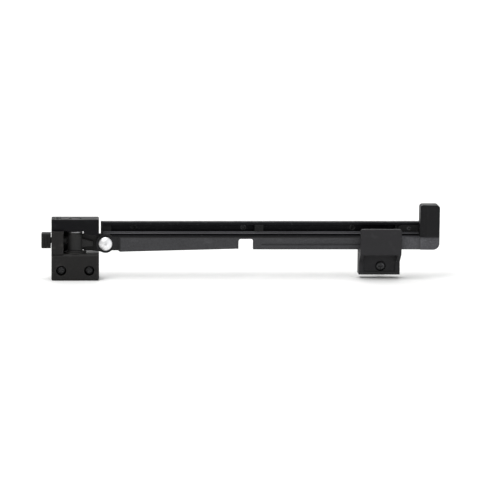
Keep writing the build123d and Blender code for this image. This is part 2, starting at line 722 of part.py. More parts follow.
with BuildPart() as elbow_pin:
    with BuildSketch(Plane.XY.offset(ELBOW_BOTTOM)):
        with Locations((ELBOW_X, SWIVEL_Y)):
            Circle(ELBOW_PIN_RADIUS)
    extrude(amount=ARM_TOP - ELBOW_BOTTOM)
    with BuildSketch(Plane.XY.offset(ARM_TOP)):
        with Locations((ELBOW_X, SWIVEL_Y)):
            Circle(ELBOW_PIN_HEAD_RADIUS)
    extrude(amount=ELBOW_PIN_HEAD_HEIGHT)
    fillet(elbow_pin.faces().sort_by(Axis.Z)[-1].edges(), ELBOW_PIN_ROUND)
save(elbow_pin, "elbow_pin")

# ------------------------------------------------------------------ sash track
TRACK_WALL = 1.2
TRACK_BACK = 2.4
TRACK_LIP = 1.2
SLOT_LOW = 26.6
SLOT_HIGH = 31.2
SLOT_MID = (SLOT_LOW + SLOT_HIGH) / 2
TRACK_ROUND = 0.6
TRACK_SCREW_HEAD = 2.2
TRACK_NECK = TRACK_SCREW_RADIUS - NECK_RELIEF
TRACK_RECESS_SPAN = 2.7
TRACK_RECESS_WIDTH = 0.7
TRACK_RECESS_DEPTH = 1.0

with BuildPart() as sash_track:
    with BuildSketch(side_plane(TRACK_LEFT)):
        with Locations((0, TRACK_LOW)):
            Rectangle(TRACK_DEPTH, TRACK_HIGH - TRACK_LOW, align=(Align.MAX, Align.MIN))
        with Locations((-TRACK_BACK, TRACK_LOW + TRACK_WALL)):
            Rectangle(
                TRACK_DEPTH - TRACK_BACK - TRACK_LIP,
                TRACK_HIGH - TRACK_LOW - 2 * TRACK_WALL,
                align=(Align.MAX, Align.MIN),
                mode=Mode.SUBTRACT,
            )
        with Locations((-TRACK_DEPTH / 2, SLOT_LOW)):
            Rectangle(
                TRACK_DEPTH, SLOT_HIGH - SLOT_LOW, align=(Align.MAX, Align.MIN), mode=Mode.SUBTRACT
            )
    extrude(amount=TRACK_RIGHT - TRACK_LEFT)
    for edge_z in (TRACK_LOW, TRACK_HIGH):
        outer = (
            sash_track.edges()
            .filter_by(Axis.X)
            .filter_by_position(Axis.Z, edge_z - RUNNING, edge_z + RUNNING)
            .sort_by(Axis.Y)[0]
        )
        fillet(outer, TRACK_ROUND)
    for x in TRACK_SCREW_X:
        with Locations(
            Plane(origin=(x, -TRACK_BACK, SLOT_MID), x_dir=(1, 0, 0), z_dir=(0, -1, 0))
        ):
            CounterSinkHole(
                TRACK_SCREW_RADIUS + GAP,
                TRACK_SCREW_HEAD,
                depth=TRACK_BACK,
                counter_sink_angle=90,
            )
save(sash_track, "sash_track")

with BuildPart() as track_screws:
    for x in TRACK_SCREW_X:
        with BuildSketch(Plane(origin=(x, 0, SLOT_MID), x_dir=(0, 1, 0), z_dir=(1, 0, 0))):
            with BuildLine():
                Polyline(
                    (-TRACK_BACK, 0),
                    (-TRACK_BACK, TRACK_SCREW_HEAD),
                    (TRACK_SCREW_HEAD - TRACK_NECK - TRACK_BACK, TRACK_NECK),
                    (0, TRACK_NECK),
                    (0, TRACK_SCREW_RADIUS),
                    (SCREW_REACH - SCREW_TIP, TRACK_SCREW_RADIUS),
                    (SCREW_REACH, TIP_RADIUS),
                    (SCREW_REACH, 0),
                    close=True,
                )
            make_face()
        revolve(axis=Axis((x, 0, SLOT_MID), (0, 1, 0)))
        with BuildSketch(front_plane(-TRACK_BACK)):
            with Locations((x, SLOT_MID)):
                Rectangle(TRACK_RECESS_SPAN, TRACK_RECESS_WIDTH)
                Rectangle(TRACK_RECESS_WIDTH, TRACK_RECESS_SPAN)
        extrude(amount=-TRACK_RECESS_DEPTH, mode=Mode.SUBTRACT)
save(track_screws, "track_screws")

LEFT_FLANGE = 1.4
LEFT_PLUG = 6.0
RIGHT_PLUG = 1.0


def end_cap(flange_left, flange_right, plug_left, plug_right):
    """A moulded cap on one end of the track: a flange, and a plug that fills the channel."""
    with BuildPart() as cap:
        with BuildSketch(side_plane(flange_left)):
            with Locations((0, TRACK_LOW)):
                Rectangle(TRACK_DEPTH, TRACK_HIGH - TRACK_LOW, align=(Align.MAX, Align.MIN))
        extrude(amount=flange_right - flange_left)
        fillet(cap.edges().filter_by(Axis.X).group_by(Axis.Y)[0], TRACK_ROUND)
        with BuildSketch(side_plane(plug_left)):
            with Locations((-TRACK_BACK, TRACK_LOW + TRACK_WALL)):
                Rectangle(
                    TRACK_DEPTH - TRACK_BACK - TRACK_LIP,
                    TRACK_HIGH - TRACK_LOW - 2 * TRACK_WALL,
                    align=(Align.MAX, Align.MIN),
                )
        extrude(amount=plug_right - plug_left)
    return cap


track_cap_left = end_cap(TRACK_LEFT - LEFT_FLANGE, TRACK_LEFT, TRACK_LEFT, TRACK_LEFT + LEFT_PLUG)
save(track_cap_left, "track_cap_left")
track_cap_right = end_cap(TRACK_RIGHT, ELBOW_RIGHT, TRACK_RIGHT - RIGHT_PLUG, TRACK_RIGHT)
save(track_cap_right, "track_cap_right")

# ------------------------------------------------------------------ friction shoe
SHOE_LEFT = 231.0
SHOE_RIGHT = 258.6
SHOE_SIDE_GAP = 0.2
SHOE_BACK = -2.55
SHOE_FRONT = -5.65
NECK_FRONT = -7.5
NECK_INSET = 4.0
SHOE_ROUND = 1.0
TENSION_X = 240.5
TENSION_RADIUS = 1.5
TENSION_LENGTH = 3.6
TENSION_HEX_REACH = 0.9
TENSION_HEX_DEPTH = 2.0
PAD_RADIUS = 2.5
PAD_FRONT = -3.6
STUD_SEAT = -3.9  # floor of the stud head's well

with BuildPart() as friction_shoe:
    with BuildSketch(front_plane(SHOE_BACK)):
        with Locations((SHOE_LEFT, TRACK_LOW + TRACK_WALL + SHOE_SIDE_GAP)):
            Rectangle(
                SHOE_RIGHT - SHOE_LEFT,
                TRACK_HIGH - TRACK_LOW - 2 * (TRACK_WALL + SHOE_SIDE_GAP),
                align=(Align.MIN, Align.MIN),
            )
    extrude(amount=SHOE_BACK - SHOE_FRONT)
    fillet(friction_shoe.edges().filter_by(Axis.Y), SHOE_ROUND)
    with BuildSketch(front_plane(SHOE_FRONT)):
        with Locations(((SHOE_LEFT + SHOE_RIGHT) / 2, SLOT_MID)):
            SlotOverall(
                SHOE_RIGHT - SHOE_LEFT - NECK_INSET, SLOT_HIGH - SLOT_LOW - 2 * SHOE_SIDE_GAP
            )
    extrude(amount=SHOE_FRONT - NECK_FRONT)
    # the stud's bore, with a well for its head in the back
    with BuildSketch(front_plane(SHOE_BACK)):
        with Locations((STUD_X, STUD_Z)):
            Circle(STUD_RADIUS + RUNNING)
    extrude(amount=SHOE_BACK - NECK_FRONT, mode=Mode.SUBTRACT)
    with BuildSketch(front_plane(SHOE_BACK)):
        with Locations((STUD_X, STUD_Z)):
            Circle(STUD_HEAD_RADIUS + 2 * GAP)
    extrude(amount=SHOE_BACK - STUD_SEAT, mode=Mode.SUBTRACT)
    with BuildSketch(front_plane(SHOE_BACK)):
        with Locations((TENSION_X, SLOT_MID)):
            Circle(TENSION_RADIUS)
    extrude(amount=SHOE_BACK - NECK_FRONT, mode=Mode.SUBTRACT)
    with BuildSketch(front_plane(SHOE_BACK)):
        with Locations((TENSION_X, SLOT_MID)):
            Circle(PAD_RADIUS)
    extrude(amount=SHOE_BACK - PAD_FRONT, mode=Mode.SUBTRACT)
save(friction_shoe, "friction_shoe")

with BuildPart() as shoe_stud:
    with BuildSketch(front_plane(SHOE_BACK)):
        with Locations((STUD_X, STUD_Z)):
            Circle(STUD_HEAD_RADIUS)
    extrude(amount=SHOE_BACK - STUD_SEAT - GAP)
    with BuildSketch(front_plane(SHOE_BACK)):
        with Locations((STUD_X, STUD_Z)):
            Circle(STUD_RADIUS)
    extrude(amount=SHOE_BACK - STUD_FRONT)
save(shoe_stud, "shoe_stud")

with BuildPart() as tension_screw:
    with BuildSketch(front_plane(PAD_FRONT)):
        with Locations((TENSION_X, SLOT_MID)):
            Circle(TENSION_RADIUS)
    extrude(amount=TENSION_LENGTH)
    with BuildSketch(front_plane(PAD_FRONT - TENSION_LENGTH)):
        with Locations((TENSION_X, SLOT_MID)):
            RegularPolygon(TENSION_HEX_REACH, 6)
    extrude(amount=-TENSION_HEX_DEPTH, mode=Mode.SUBTRACT)
save(tension_screw, "tension_screw")

with BuildPart() as brake_pad:
    with BuildSketch(front_plane(-TRACK_BACK - RUNNING)):
        with Locations((TENSION_X, SLOT_MID)):
            Circle(PAD_RADIUS)
    extrude(amount=-TRACK_BACK - RUNNING - PAD_FRONT)
save(brake_pad, "brake_pad")

# ------------------------------------------------------------------ travel stop in the track
STOP_RIGHT = SHOE_LEFT - SHOE_TRAVEL - 0.7
STOP_LENGTH = 6.3

with BuildPart() as travel_stop:
    with BuildSketch(front_plane(-TRACK_BACK)):
        with Locations((STOP_RIGHT, (TRACK_LOW + TRACK_HIGH) / 2)):
            Rectangle(
                STOP_LENGTH,
                TRACK_HIGH - TRACK_LOW - 2 * TRACK_WALL,
                align=(Align.MAX, Align.CENTER),
            )
    extrude(amount=TRACK_DEPTH - TRACK_BACK - TRACK_LIP)
    with BuildSketch(front_plane(-TRACK_DEPTH + TRACK_LIP)):
        with Locations((STOP_RIGHT, SLOT_MID)):
            Rectangle(STOP_LENGTH, SLOT_HIGH - SLOT_LOW, align=(Align.MAX, Align.CENTER))
    extrude(amount=TRACK_LIP)
save(travel_stop, "travel_stop")

# ------------------------------------------------------------------ keeper on the frame
KEEPER_PLATE = 12.0
KEEPER_RIM = 2.0
KEEPER_RECESS = 1.0
SHELF_LOW = 11.2
SHELF_TOP = 13.2
LIP_BACK = -19.3
LIP_FRONT = -22.5
LIP_CORNER = 1.5
LIP_ROUND = 0.6
GUSSET = 2.6
GUSSET_DROP = 6.0
GUSSET_SETBACK = 1.5
PANEL_INSET = 3.2
PANEL_CORNER = 1.0
KEEPER_SCREW_X = 220.0
KEEPER_SCREW_Z = 1.9
KEEPER_SEAT = -8.9

with BuildPart() as keeper:
    with BuildSketch(side_plane(KEEPER_LEFT)):
        with BuildLine():
            Polyline(
                (0, KEEPER_BOTTOM),
                (0, SHELF_TOP),
                (LIP_BACK, SHELF_TOP),
                (LIP_BACK, KEEPER_TOP),
                (LIP_FRONT, KEEPER_TOP),
                (LIP_FRONT, SHELF_LOW),
                (-KEEPER_PLATE, SHELF_LOW),
                (-KEEPER_PLATE, KEEPER_BOTTOM),
                close=True,
            )
        make_face()
    extrude(amount=KEEPER_RIGHT - KEEPER_LEFT)
    fillet(keeper.edges().filter_by(Axis.Y).group_by(Axis.Z)[-1], LIP_CORNER)
    fillet(keeper.faces().sort_by(Axis.Y)[0].edges(), LIP_ROUND)
    # gussets under the shelf at both sides
    for left in (KEEPER_LEFT, KEEPER_RIGHT - GUSSET):
        with BuildSketch(side_plane(left)):
            with BuildLine():
                Polyline(
                    (-KEEPER_PLATE, SHELF_LOW - GUSSET_DROP),
                    (LIP_FRONT + GUSSET_SETBACK, SHELF_LOW),
                    (-KEEPER_PLATE, SHELF_LOW),
                    close=True,
                )
            make_face()
        extrude(amount=GUSSET)
    # the rimmed panel on the block's front, and the screw's well
    with BuildSketch(front_plane(-KEEPER_PLATE)):
        with Locations(((KEEPER_LEFT + KEEPER_RIGHT) / 2, (KEEPER_BOTTOM + SHELF_LOW) / 2)):
            RectangleRounded(
                KEEPER_RIGHT - KEEPER_LEFT - 2 * PANEL_INSET,
                SHELF_LOW - KEEPER_BOTTOM - 2 * KEEPER_RIM,
                PANEL_CORNER,
            )
    extrude(amount=-KEEPER_RECESS, mode=Mode.SUBTRACT)
    with Locations(
        Plane(
            origin=(KEEPER_SCREW_X, -KEEPER_PLATE, KEEPER_SCREW_Z),
            x_dir=(1, 0, 0),
            z_dir=(0, -1, 0),
        )
    ):
        CounterBoreHole(
            FRAME_SCREW_RADIUS + GAP,
            SCREW_WELL_RADIUS,
            KEEPER_PLATE + KEEPER_SEAT,
            KEEPER_PLATE + OVERLAP,
        )
save(keeper, "keeper")

keeper_screw = wood_screw(KEEPER_SCREW_X, KEEPER_SCREW_Z, KEEPER_SEAT)
save(keeper_screw, "keeper_screw")

STRIP_THICKNESS = 0.5
STRIP_WIDTH = 12.0
STRIP_CREST = 14.3  # the spring's hump stops this high, just under the arm
STRIP_OUTLINE = (
    (-18.0, SHELF_TOP),
    (-18.0, SHELF_TOP + STRIP_THICKNESS),
    (-9.0, SHELF_TOP + STRIP_THICKNESS),
    (-6.0, STRIP_CREST),
    (-4.8, STRIP_CREST),
    (-2.0, SHELF_TOP + STRIP_THICKNESS),
    (-2.0, SHELF_TOP),
    (-2.4, SHELF_TOP),
    (-5.0, STRIP_CREST - STRIP_THICKNESS),
    (-5.8, STRIP_CREST - STRIP_THICKNESS),
    (-8.8, SHELF_TOP),
)
with BuildPart() as keeper_spring:
    with BuildSketch(side_plane((KEEPER_LEFT + KEEPER_RIGHT - STRIP_WIDTH) / 2)):
        with BuildLine():
            Polyline(*STRIP_OUTLINE, close=True)
        make_face()
    extrude(amount=STRIP_WIDTH)
save(keeper_spring, "keeper_spring")
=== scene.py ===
"""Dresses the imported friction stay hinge: finishes, screws, lock spring, track and a studio."""

import logging
import math
from dataclasses import dataclass, field
from enum import Enum
from functools import cache
from typing import Any, ClassVar, Optional, Sequence, Union

import bmesh
import bpy
from mathutils import Matrix, Vector


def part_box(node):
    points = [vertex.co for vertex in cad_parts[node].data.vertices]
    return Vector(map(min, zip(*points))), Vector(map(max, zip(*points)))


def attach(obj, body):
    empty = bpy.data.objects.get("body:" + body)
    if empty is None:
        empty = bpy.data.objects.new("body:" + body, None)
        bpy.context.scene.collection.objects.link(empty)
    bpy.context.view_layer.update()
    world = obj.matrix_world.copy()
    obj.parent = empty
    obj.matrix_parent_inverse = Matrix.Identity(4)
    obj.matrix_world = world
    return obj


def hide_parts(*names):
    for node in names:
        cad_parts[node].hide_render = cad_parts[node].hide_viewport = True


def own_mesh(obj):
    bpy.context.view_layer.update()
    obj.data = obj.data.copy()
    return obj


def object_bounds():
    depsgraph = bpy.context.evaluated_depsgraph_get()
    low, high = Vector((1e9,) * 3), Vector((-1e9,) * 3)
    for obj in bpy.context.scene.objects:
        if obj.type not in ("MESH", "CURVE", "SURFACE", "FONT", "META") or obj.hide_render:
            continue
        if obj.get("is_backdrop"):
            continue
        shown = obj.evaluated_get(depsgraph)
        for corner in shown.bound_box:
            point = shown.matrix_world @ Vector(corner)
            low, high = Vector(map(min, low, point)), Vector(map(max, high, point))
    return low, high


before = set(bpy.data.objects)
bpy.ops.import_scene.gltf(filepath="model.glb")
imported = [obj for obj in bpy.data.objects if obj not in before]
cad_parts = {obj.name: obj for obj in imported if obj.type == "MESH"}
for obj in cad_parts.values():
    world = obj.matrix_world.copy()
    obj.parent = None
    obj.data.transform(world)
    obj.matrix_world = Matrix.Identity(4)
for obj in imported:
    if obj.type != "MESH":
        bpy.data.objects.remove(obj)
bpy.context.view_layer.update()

LOG = logging.getLogger("stay_hinge")
MM = 0.001

Colour = tuple[float, float, float]
Point = tuple[float, float, float]
Profile = list[tuple[float, float]]


# ---------------------------------------------------------------- node graphs
class Graph:
    """One node tree, filled from Python."""

    def __init__(self, tree: bpy.types.NodeTree) -> None:
        """Starts an empty graph.

        Args:
            tree: the material's or the geometry modifier's node tree.
        """
        self.tree = tree
        tree.nodes.clear()

    def node(
        self,
        kind: str,
        settings: Optional[dict[str, Any]] = None,
        sockets: Optional[dict[Union[str, int], Any]] = None,
    ) -> bpy.types.Node:
        """Adds a node: its settings first, then the values or links of its sockets.

        Args:
            kind: the node's type name.
            settings: its properties, by name.
            sockets: input name or index to a number, a vector, a Value or a socket.

        Returns:
            The new node.
        """
        made = self.tree.nodes.new(kind)
        for key, value in (settings or {}).items():
            setattr(made, key, value)
        for key, value in (sockets or {}).items():
            self.feed(made.inputs[key], value)
        return made

    def feed(self, socket: bpy.types.NodeSocket, value: Any) -> None:
        """Links a socket, or sets its value.

        Args:
            socket: the input to fill.
            value: a Value or a socket to link, or a plain value.
        """
        if isinstance(value, Value):
            value = value.socket
        if isinstance(value, bpy.types.NodeSocket):
            self.tree.links.new(value, socket)
        else:
            socket.default_value = value


class Value:
    """A scalar socket that takes part in Python arithmetic."""

    def __init__(self, graph: Graph, socket: bpy.types.NodeSocket) -> None:
        """Wraps a socket.

        Args:
            graph: the graph that the socket belongs to.
            socket: an output that carries one number.
        """
        self.graph = graph
        self.socket = socket

    def _with(self, operation: str, *terms: Any) -> "Value":
        """Adds a Math node.

        Args:
            operation: the node's operation.
            terms: its inputs in order.

        Returns:
            The node's result.
        """
        made = self.graph.node(
            "ShaderNodeMath", {"operation": operation}, dict(enumerate(terms))
        )
        return Value(self.graph, made.outputs[0])

    def __add__(self, other: Any) -> "Value":
        """This value plus another."""
        return self._with("ADD", self, other)

    def __sub__(self, other: Any) -> "Value":
        """This value less another."""
        return self._with("SUBTRACT", self, other)

    def __rsub__(self, other: Any) -> "Value":
        """Another value less this one."""
        return self._with("SUBTRACT", other, self)

    def __mul__(self, other: Any) -> "Value":
        """This value times another."""
        return self._with("MULTIPLY", self, other)

    def __truediv__(self, other: Any) -> "Value":
        """This value over another."""
        return self._with("DIVIDE", self, other)

    __radd__ = __add__
    __rmul__ = __mul__

    def sine(self) -> "Value":
        """The sine of this value, in radians."""
        return self._with("SINE", self)

    def clamped(self) -> "Value":
        """This value held between 0 and 1."""
        return self._with("MINIMUM", self._with("MAXIMUM", self, 0.0), 1.0)

    def between(self, low: float, high: float) -> "Value":
        """A smooth step.

        Args:
            low: where the result is 0.
            high: where the result is 1.

        Returns:
            The eased share of the way from low to high.
        """
        made = self.graph.node(
            "ShaderNodeMapRange",
            {"interpolation_type": "SMOOTHSTEP"},
            {"Value": self, "From Min": low, "From Max": high},
        )
        return Value(self.graph, made.outputs[0])


class SurfaceGraph(Graph):
    """A material's graph, with the textures and masks that the finishes share."""

    EDGE_SAMPLES = 6
    EDGE_FROM = 0.01
    EDGE_TO = 0.2
    NOISE_ROUGHNESS = 0.55
    MIX_COLOURS = (6, 7)
    MIX_RESULT = 2

    def __init__(self, name: str) -> None:
        """Makes the material.

        Args:
            name: the material's name.
        """
        self.material = bpy.data.materials.new(name)
        self.material.use_nodes = True
        super().__init__(self.material.node_tree)
        self.place = self.node("ShaderNodeTexCoord").outputs["Object"]

    def stretched(self, scale: Sequence[float], centre: Sequence[float] = (0, 0, 0)) -> Any:
        """The object coordinates, moved and stretched.

        Args:
            scale: the factor along each axis.
            centre: the point that becomes the pattern's origin, in metres.

        Returns:
            The vector socket.
        """
        moved = self.node(
            "ShaderNodeVectorMath", {"operation": "SUBTRACT"}, {0: self.place, 1: centre}
        )
        made = self.node(
            "ShaderNodeVectorMath", {"operation": "MULTIPLY"}, {0: moved.outputs[0], 1: scale}
        )
        return made.outputs[0]

    def along(self, axis: str) -> Value:
        """The place along one axis of the frame, in metres.

        Args:
            axis: "X", "Y" or "Z".

        Returns:
            The coordinate.
        """
        split = self.node("ShaderNodeSeparateXYZ", None, {0: self.place})
        return Value(self, split.outputs[axis])

    def noise(self, size_mm: float, detail: float = 2.0, vector: Any = None) -> Value:
        """Cloudy noise.

        Args:
            size_mm: the size of one blotch, in millimetres.
            detail: how many finer layers ride on it.
            vector: other coordinates than the object's, if any.

        Returns:
            A value from 0 to 1.
        """
        made = self.node(
            "ShaderNodeTexNoise",
            None,
            {
                "Vector": vector or self.place,
                "Scale": 1.0 / (size_mm * MM),
                "Detail": detail,
                "Roughness": self.NOISE_ROUGHNESS,
            },
        )
        return Value(self, made.outputs[0])

    def grains(self, size_mm: float) -> Value:
        """Distance from the middle of each grain.

        Args:
            size_mm: the size of one grain, in millimetres.

        Returns:
            0 at a grain's middle, rising towards its rim.
        """
        made = self.node(
            "ShaderNodeTexVoronoi",
            {"feature": "F1"},
            {"Vector": self.place, "Scale": 1.0 / (size_mm * MM)},
        )
        return Value(self, made.outputs["Distance"])

    def edges(self, radius_mm: float) -> tuple[Value, Any]:
        """Finds a piece's edges.

        Args:
            radius_mm: how far an edge reaches, in millimetres.

        Returns:
            A mask that is 1 on edges, and the normal with those edges rounded.
        """
        rounded = self.node(
            "ShaderNodeBevel", {"samples": self.EDGE_SAMPLES}, {"Radius": radius_mm * MM}
        ).outputs[0]
        flat = self.node("ShaderNodeNewGeometry").outputs["Normal"]
        agree = self.node(
            "ShaderNodeVectorMath", {"operation": "DOT_PRODUCT"}, {0: rounded, 1: flat}
        )
        turned = 1.0 - Value(self, agree.outputs["Value"])
        return turned.between(self.EDGE_FROM, self.EDGE_TO), rounded

    def mixed(self, share: Any, first: Any, second: Any) -> Any:
        """Mixes two colours.

        Args:
            share: how much of the second.
            first: a colour or a colour socket.
            second: a colour or a colour socket.

        Returns:
            The colour socket.
        """
        made = self.node("ShaderNodeMix", {"data_type": "RGBA"})
        self.feed(made.inputs[0], share)
        for index, colour in zip(self.MIX_COLOURS, (first, second)):
            self.feed(made.inputs[index], (*colour, 1.0) if isinstance(colour, tuple) else colour)
        return made.outputs[self.MIX_RESULT]

    def bumped(self, height: Value, depth_mm: float, strength: float, normal: Any = None) -> Any:
        """Turns a height into a normal.

        Args:
            height: the relief, from 0 to 1.
            depth_mm: how deep the relief is, in millimetres.
            strength: how much of it shows.
            normal: the normal that it starts from, if not the surface's own.

        Returns:
            The normal socket.
        """
        made = self.node(
            "ShaderNodeBump",
            None,
            {"Strength": strength, "Distance": depth_mm * MM, "Height": height},
        )
        if normal is not None:
            self.feed(made.inputs["Normal"], normal)
        return made.outputs[0]

    def close(self, **sockets: Any) -> bpy.types.Material:
        """Adds the shader and the output.

        Args:
            sockets: the shader's inputs, with underscores for the spaces in their names.

        Returns:
            The finished material.
        """
        inputs = {key.replace("_", " "): value for key, value in sockets.items()}
        shader = self.node("ShaderNodeBsdfPrincipled", None, inputs)
        self.node("ShaderNodeOutputMaterial", None, {"Surface": shader.outputs[0]})
        return self.material


# ---------------------------------------------------------------- finishes
class Finish:
    """A finish that makes its material once."""

    name: str
    shelf: ClassVar[dict[str, bpy.types.Material]] = {}

    def material(self) -> bpy.types.Material:
        """Gives the finish's material, made at its first use.

        Returns:
            The material.
        """
        if self.name not in Finish.shelf:
            Finish.shelf[self.name] = self.paint(SurfaceGraph(self.name))
        return Finish.shelf[self.name]

    def paint(self, graph: SurfaceGraph) -> bpy.types.Material:
        """Fills the material's graph.

        Args:
            graph: the empty graph.

        Returns:
            The finished material.
        """
        raise NotImplementedError


@dataclass(frozen=True)
class PowderCoat(Finish):
    """A baked coat on a zinc casting: orange peel, fine grain, and edges rubbed lighter.

    Above a given height the coat turns to a darker painted shade, and left of a given x it is
    darkened as a painted shadow beside the rivet joint.
    """

    name: str
    coat: Colour
    rubbed: Colour
    grain_mm: float = 0.55
    grain_contrast: float = 0.25
    glint_speck_share: float = 0.0
    speck_spread: float = 2.6
    wear: float = 0.55
    roughness: float = 0.5
    relief_mm: float = 0.06
    gloss: float = 0.2
    edge_mm: float = 0.6
    mottle_mm: float = 14.0
    peel_mm: float = 2.4
    scuff_mm: float = 5.0
    chip_mm: float = 3.0
    painted_shade: Optional[Colour] = None
    painted_shade_from_mm: float = 0.0
    painted_shade_fade_mm: float = 2.0
    painted_shadow_to_mm: float = 0.0
    painted_shadow_fade_mm: float = 0.8
    painted_shadow_share: float = 0.0
    painted_shadow_tone: float = 0.2

    def paint(self, graph: SurfaceGraph) -> bpy.types.Material:
        """Lays mottling, grain, pale specks that paint glints, rubbed edges and painted shade over
        the coat.

        Args:
            graph: the empty graph.

        Returns:
            The finished material.
        """
        edge, rounded = graph.edges(self.edge_mm)
        mottle = graph.noise(self.mottle_mm, 3.0).between(0.3, 0.7)
        grain = graph.noise(self.grain_mm, 3.0)
        peel = graph.noise(self.peel_mm, 2.0)
        specks = 1.0 - graph.grains(self.grain_mm * self.speck_spread).between(0.12, 0.34)
        lengthwise = graph.stretched((0.35, 1.0, 1.0))
        scuffs = graph.noise(self.scuff_mm, 4.0, lengthwise).between(0.56, 0.74)
        rubbed = (edge * graph.noise(self.chip_mm, 4.0).between(0.3, 0.62) * self.wear).clamped()
        dark = tuple(c * (1.0 - self.grain_contrast) for c in self.coat)
        light = tuple(min(1.0, c * (1.0 + self.grain_contrast)) for c in self.coat)
        base = graph.mixed(grain.between(0.32, 0.68), dark, light)
        base = graph.mixed(mottle * 0.35, base, light)
        # Scuffs are real wear; the pale specks' share paints glints into the colour.
        base = graph.mixed(scuffs * 0.22 + specks * self.glint_speck_share, base, self.rubbed)
        # Painted shade: above the given height the colour fades to the darker shade colour.
        if self.painted_shade is not None:
            start = self.painted_shade_from_mm * MM
            shade_share = graph.along("Z").between(start, start + self.painted_shade_fade_mm * MM)
            base = graph.mixed(shade_share, base, self.painted_shade)
        # Painted shadow: left of the given x the colour is darkened as the shadow beside the rivet
        # joint.
        if self.painted_shadow_share:
            start = self.painted_shadow_to_mm * MM
            unshadowed = graph.along("X").between(start, start + self.painted_shadow_fade_mm * MM)
            shadow_colour = tuple(c * self.painted_shadow_tone for c in self.coat)
            base = graph.mixed((1.0 - unshadowed) * self.painted_shadow_share, base, shadow_colour)
        base = graph.mixed(rubbed, base, self.rubbed)
        height = grain * 0.45 + peel * 0.55 + specks * (0.4 if self.glint_speck_share else 0.0)
        return graph.close(
            Base_Color=base,
            Roughness=self.roughness + (grain - 0.5) * 0.22 - rubbed * 0.1 + mottle * 0.06,
            Specular_IOR_Level=self.gloss,
            Normal=graph.bumped(height, self.relief_mm, 0.5, rounded),
        )


@dataclass(frozen=True)
class MouldedNylon(Finish):
    """Spark-textured nylon with faint flow marks and a little dust."""

    name: str
    body: Colour
    dusty: Colour
    roughness: float = 0.6
    texture_mm: float = 0.4
    texture_depth_mm: float = 0.04
    gloss: float = 0.22
    edge_mm: float = 0.4
    flow_mm: float = 9.0
    dust_mm: float = 4.0

    def paint(self, graph: SurfaceGraph) -> bpy.types.Material:
        """Lays spark texture, flow marks and dust over the plastic.

        Args:
            graph: the empty graph.

        Returns:
            The finished material.
        """
        edge, rounded = graph.edges(self.edge_mm)
        spark = graph.noise(self.texture_mm, 2.0)
        fill_path = graph.stretched((0.3, 1.0, 1.0))
        flow = graph.noise(self.flow_mm, 3.0, fill_path).between(0.35, 0.7)
        dust = graph.noise(self.dust_mm, 5.0).between(0.52, 0.75)
        base = graph.mixed(flow * 0.3, self.body, tuple(c * 1.35 for c in self.body))
        base = graph.mixed(dust * 0.2 + edge * 0.28, base, self.dusty)
        return graph.close(
            Base_Color=base,
            Roughness=self.roughness + (spark - 0.5) * 0.16 + dust * 0.1 - edge * 0.08,
            Specular_IOR_Level=self.gloss,
            Normal=graph.bumped(spark, self.texture_depth_mm, 0.45, rounded),
        )


@dataclass(frozen=True)
class PlatedSteel(Finish):
    """Plated or oiled steel with fine scratches, faint stains and brighter edges."""

    name: str
    metal: Colour
    stain: Colour
    roughness: float = 0.34
    scratch_along: Point = (0.08, 1.0, 1.0)
    scratch_mm: float = 0.25
    scratch_depth_mm: float = 0.02
    stain_mm: float = 2.8
    edge_mm: float = 0.25

    def paint(self, graph: SurfaceGraph) -> bpy.types.Material:
        """Lays scratches, stains and bright edges over the metal.

        Args:
            graph: the empty graph.

        Returns:
            The finished material.
        """
        edge, rounded = graph.edges(self.edge_mm)
        scratch = graph.noise(self.scratch_mm, 3.0, graph.stretched(self.scratch_along))
        stain = graph.noise(self.stain_mm, 4.0).between(0.42, 0.72)
        bright = tuple(min(1.0, c * 1.4 + 0.04) for c in self.metal)
        base = graph.mixed(stain * 0.55, self.metal, self.stain)
        base = graph.mixed(edge * 0.6, base, bright)
        return graph.close(
            Base_Color=base,
            Metallic=0.94 - stain * 0.12,
            Roughness=self.roughness + (scratch - 0.5) * 0.24 + stain * 0.14,
            Normal=graph.bumped(scratch, self.scratch_depth_mm, 0.4, rounded),
        )


@dataclass(frozen=True)
class SpunMetal(Finish):
    """Bright metal with tool rings round an axis that runs along Y."""

    name: str
    metal: Colour
    centre: Point
    ring_mm: float = 0.32
    roughness: float = 0.2
    dent_mm: float = 1.6
    relief_mm: float = 0.03
    dull_from_mm: float = 3.9
    dull_to_mm: float = 4.8
    edge_mm: float = 0.2

    def paint(self, graph: SurfaceGraph) -> bpy.types.Material:
        """Lays rings, faint dents and a dulled rim over the metal.

        Args:
            graph: the empty graph.

        Returns:
            The finished material.
        """
        edge, rounded = graph.edges(self.edge_mm)
        across = graph.stretched((1.0, 0.0, 1.0), self.centre)
        reach = graph.node("ShaderNodeVectorMath", {"operation": "LENGTH"}, {0: across})
        radius = Value(graph, reach.outputs["Value"])
        rings = (radius * (math.tau / (self.ring_mm * MM))).sine() * 0.5 + 0.5
        dents = graph.noise(self.dent_mm, 3.0)
        rim = radius.between(self.dull_from_mm * MM, self.dull_to_mm * MM)
        grime = rim * 0.45 + dents.between(0.55, 0.8) * 0.2
        base = graph.mixed(grime, self.metal, tuple(c * 0.45 for c in self.metal))
        return graph.close(
            Base_Color=base,
            Metallic=0.96 - grime * 0.2,
            Roughness=self.roughness + rings * 0.08 + dents * 0.14 + edge * 0.05,
            Normal=graph.bumped(rings * 0.25 + dents * 0.75, self.relief_mm, 0.4, rounded),
        )


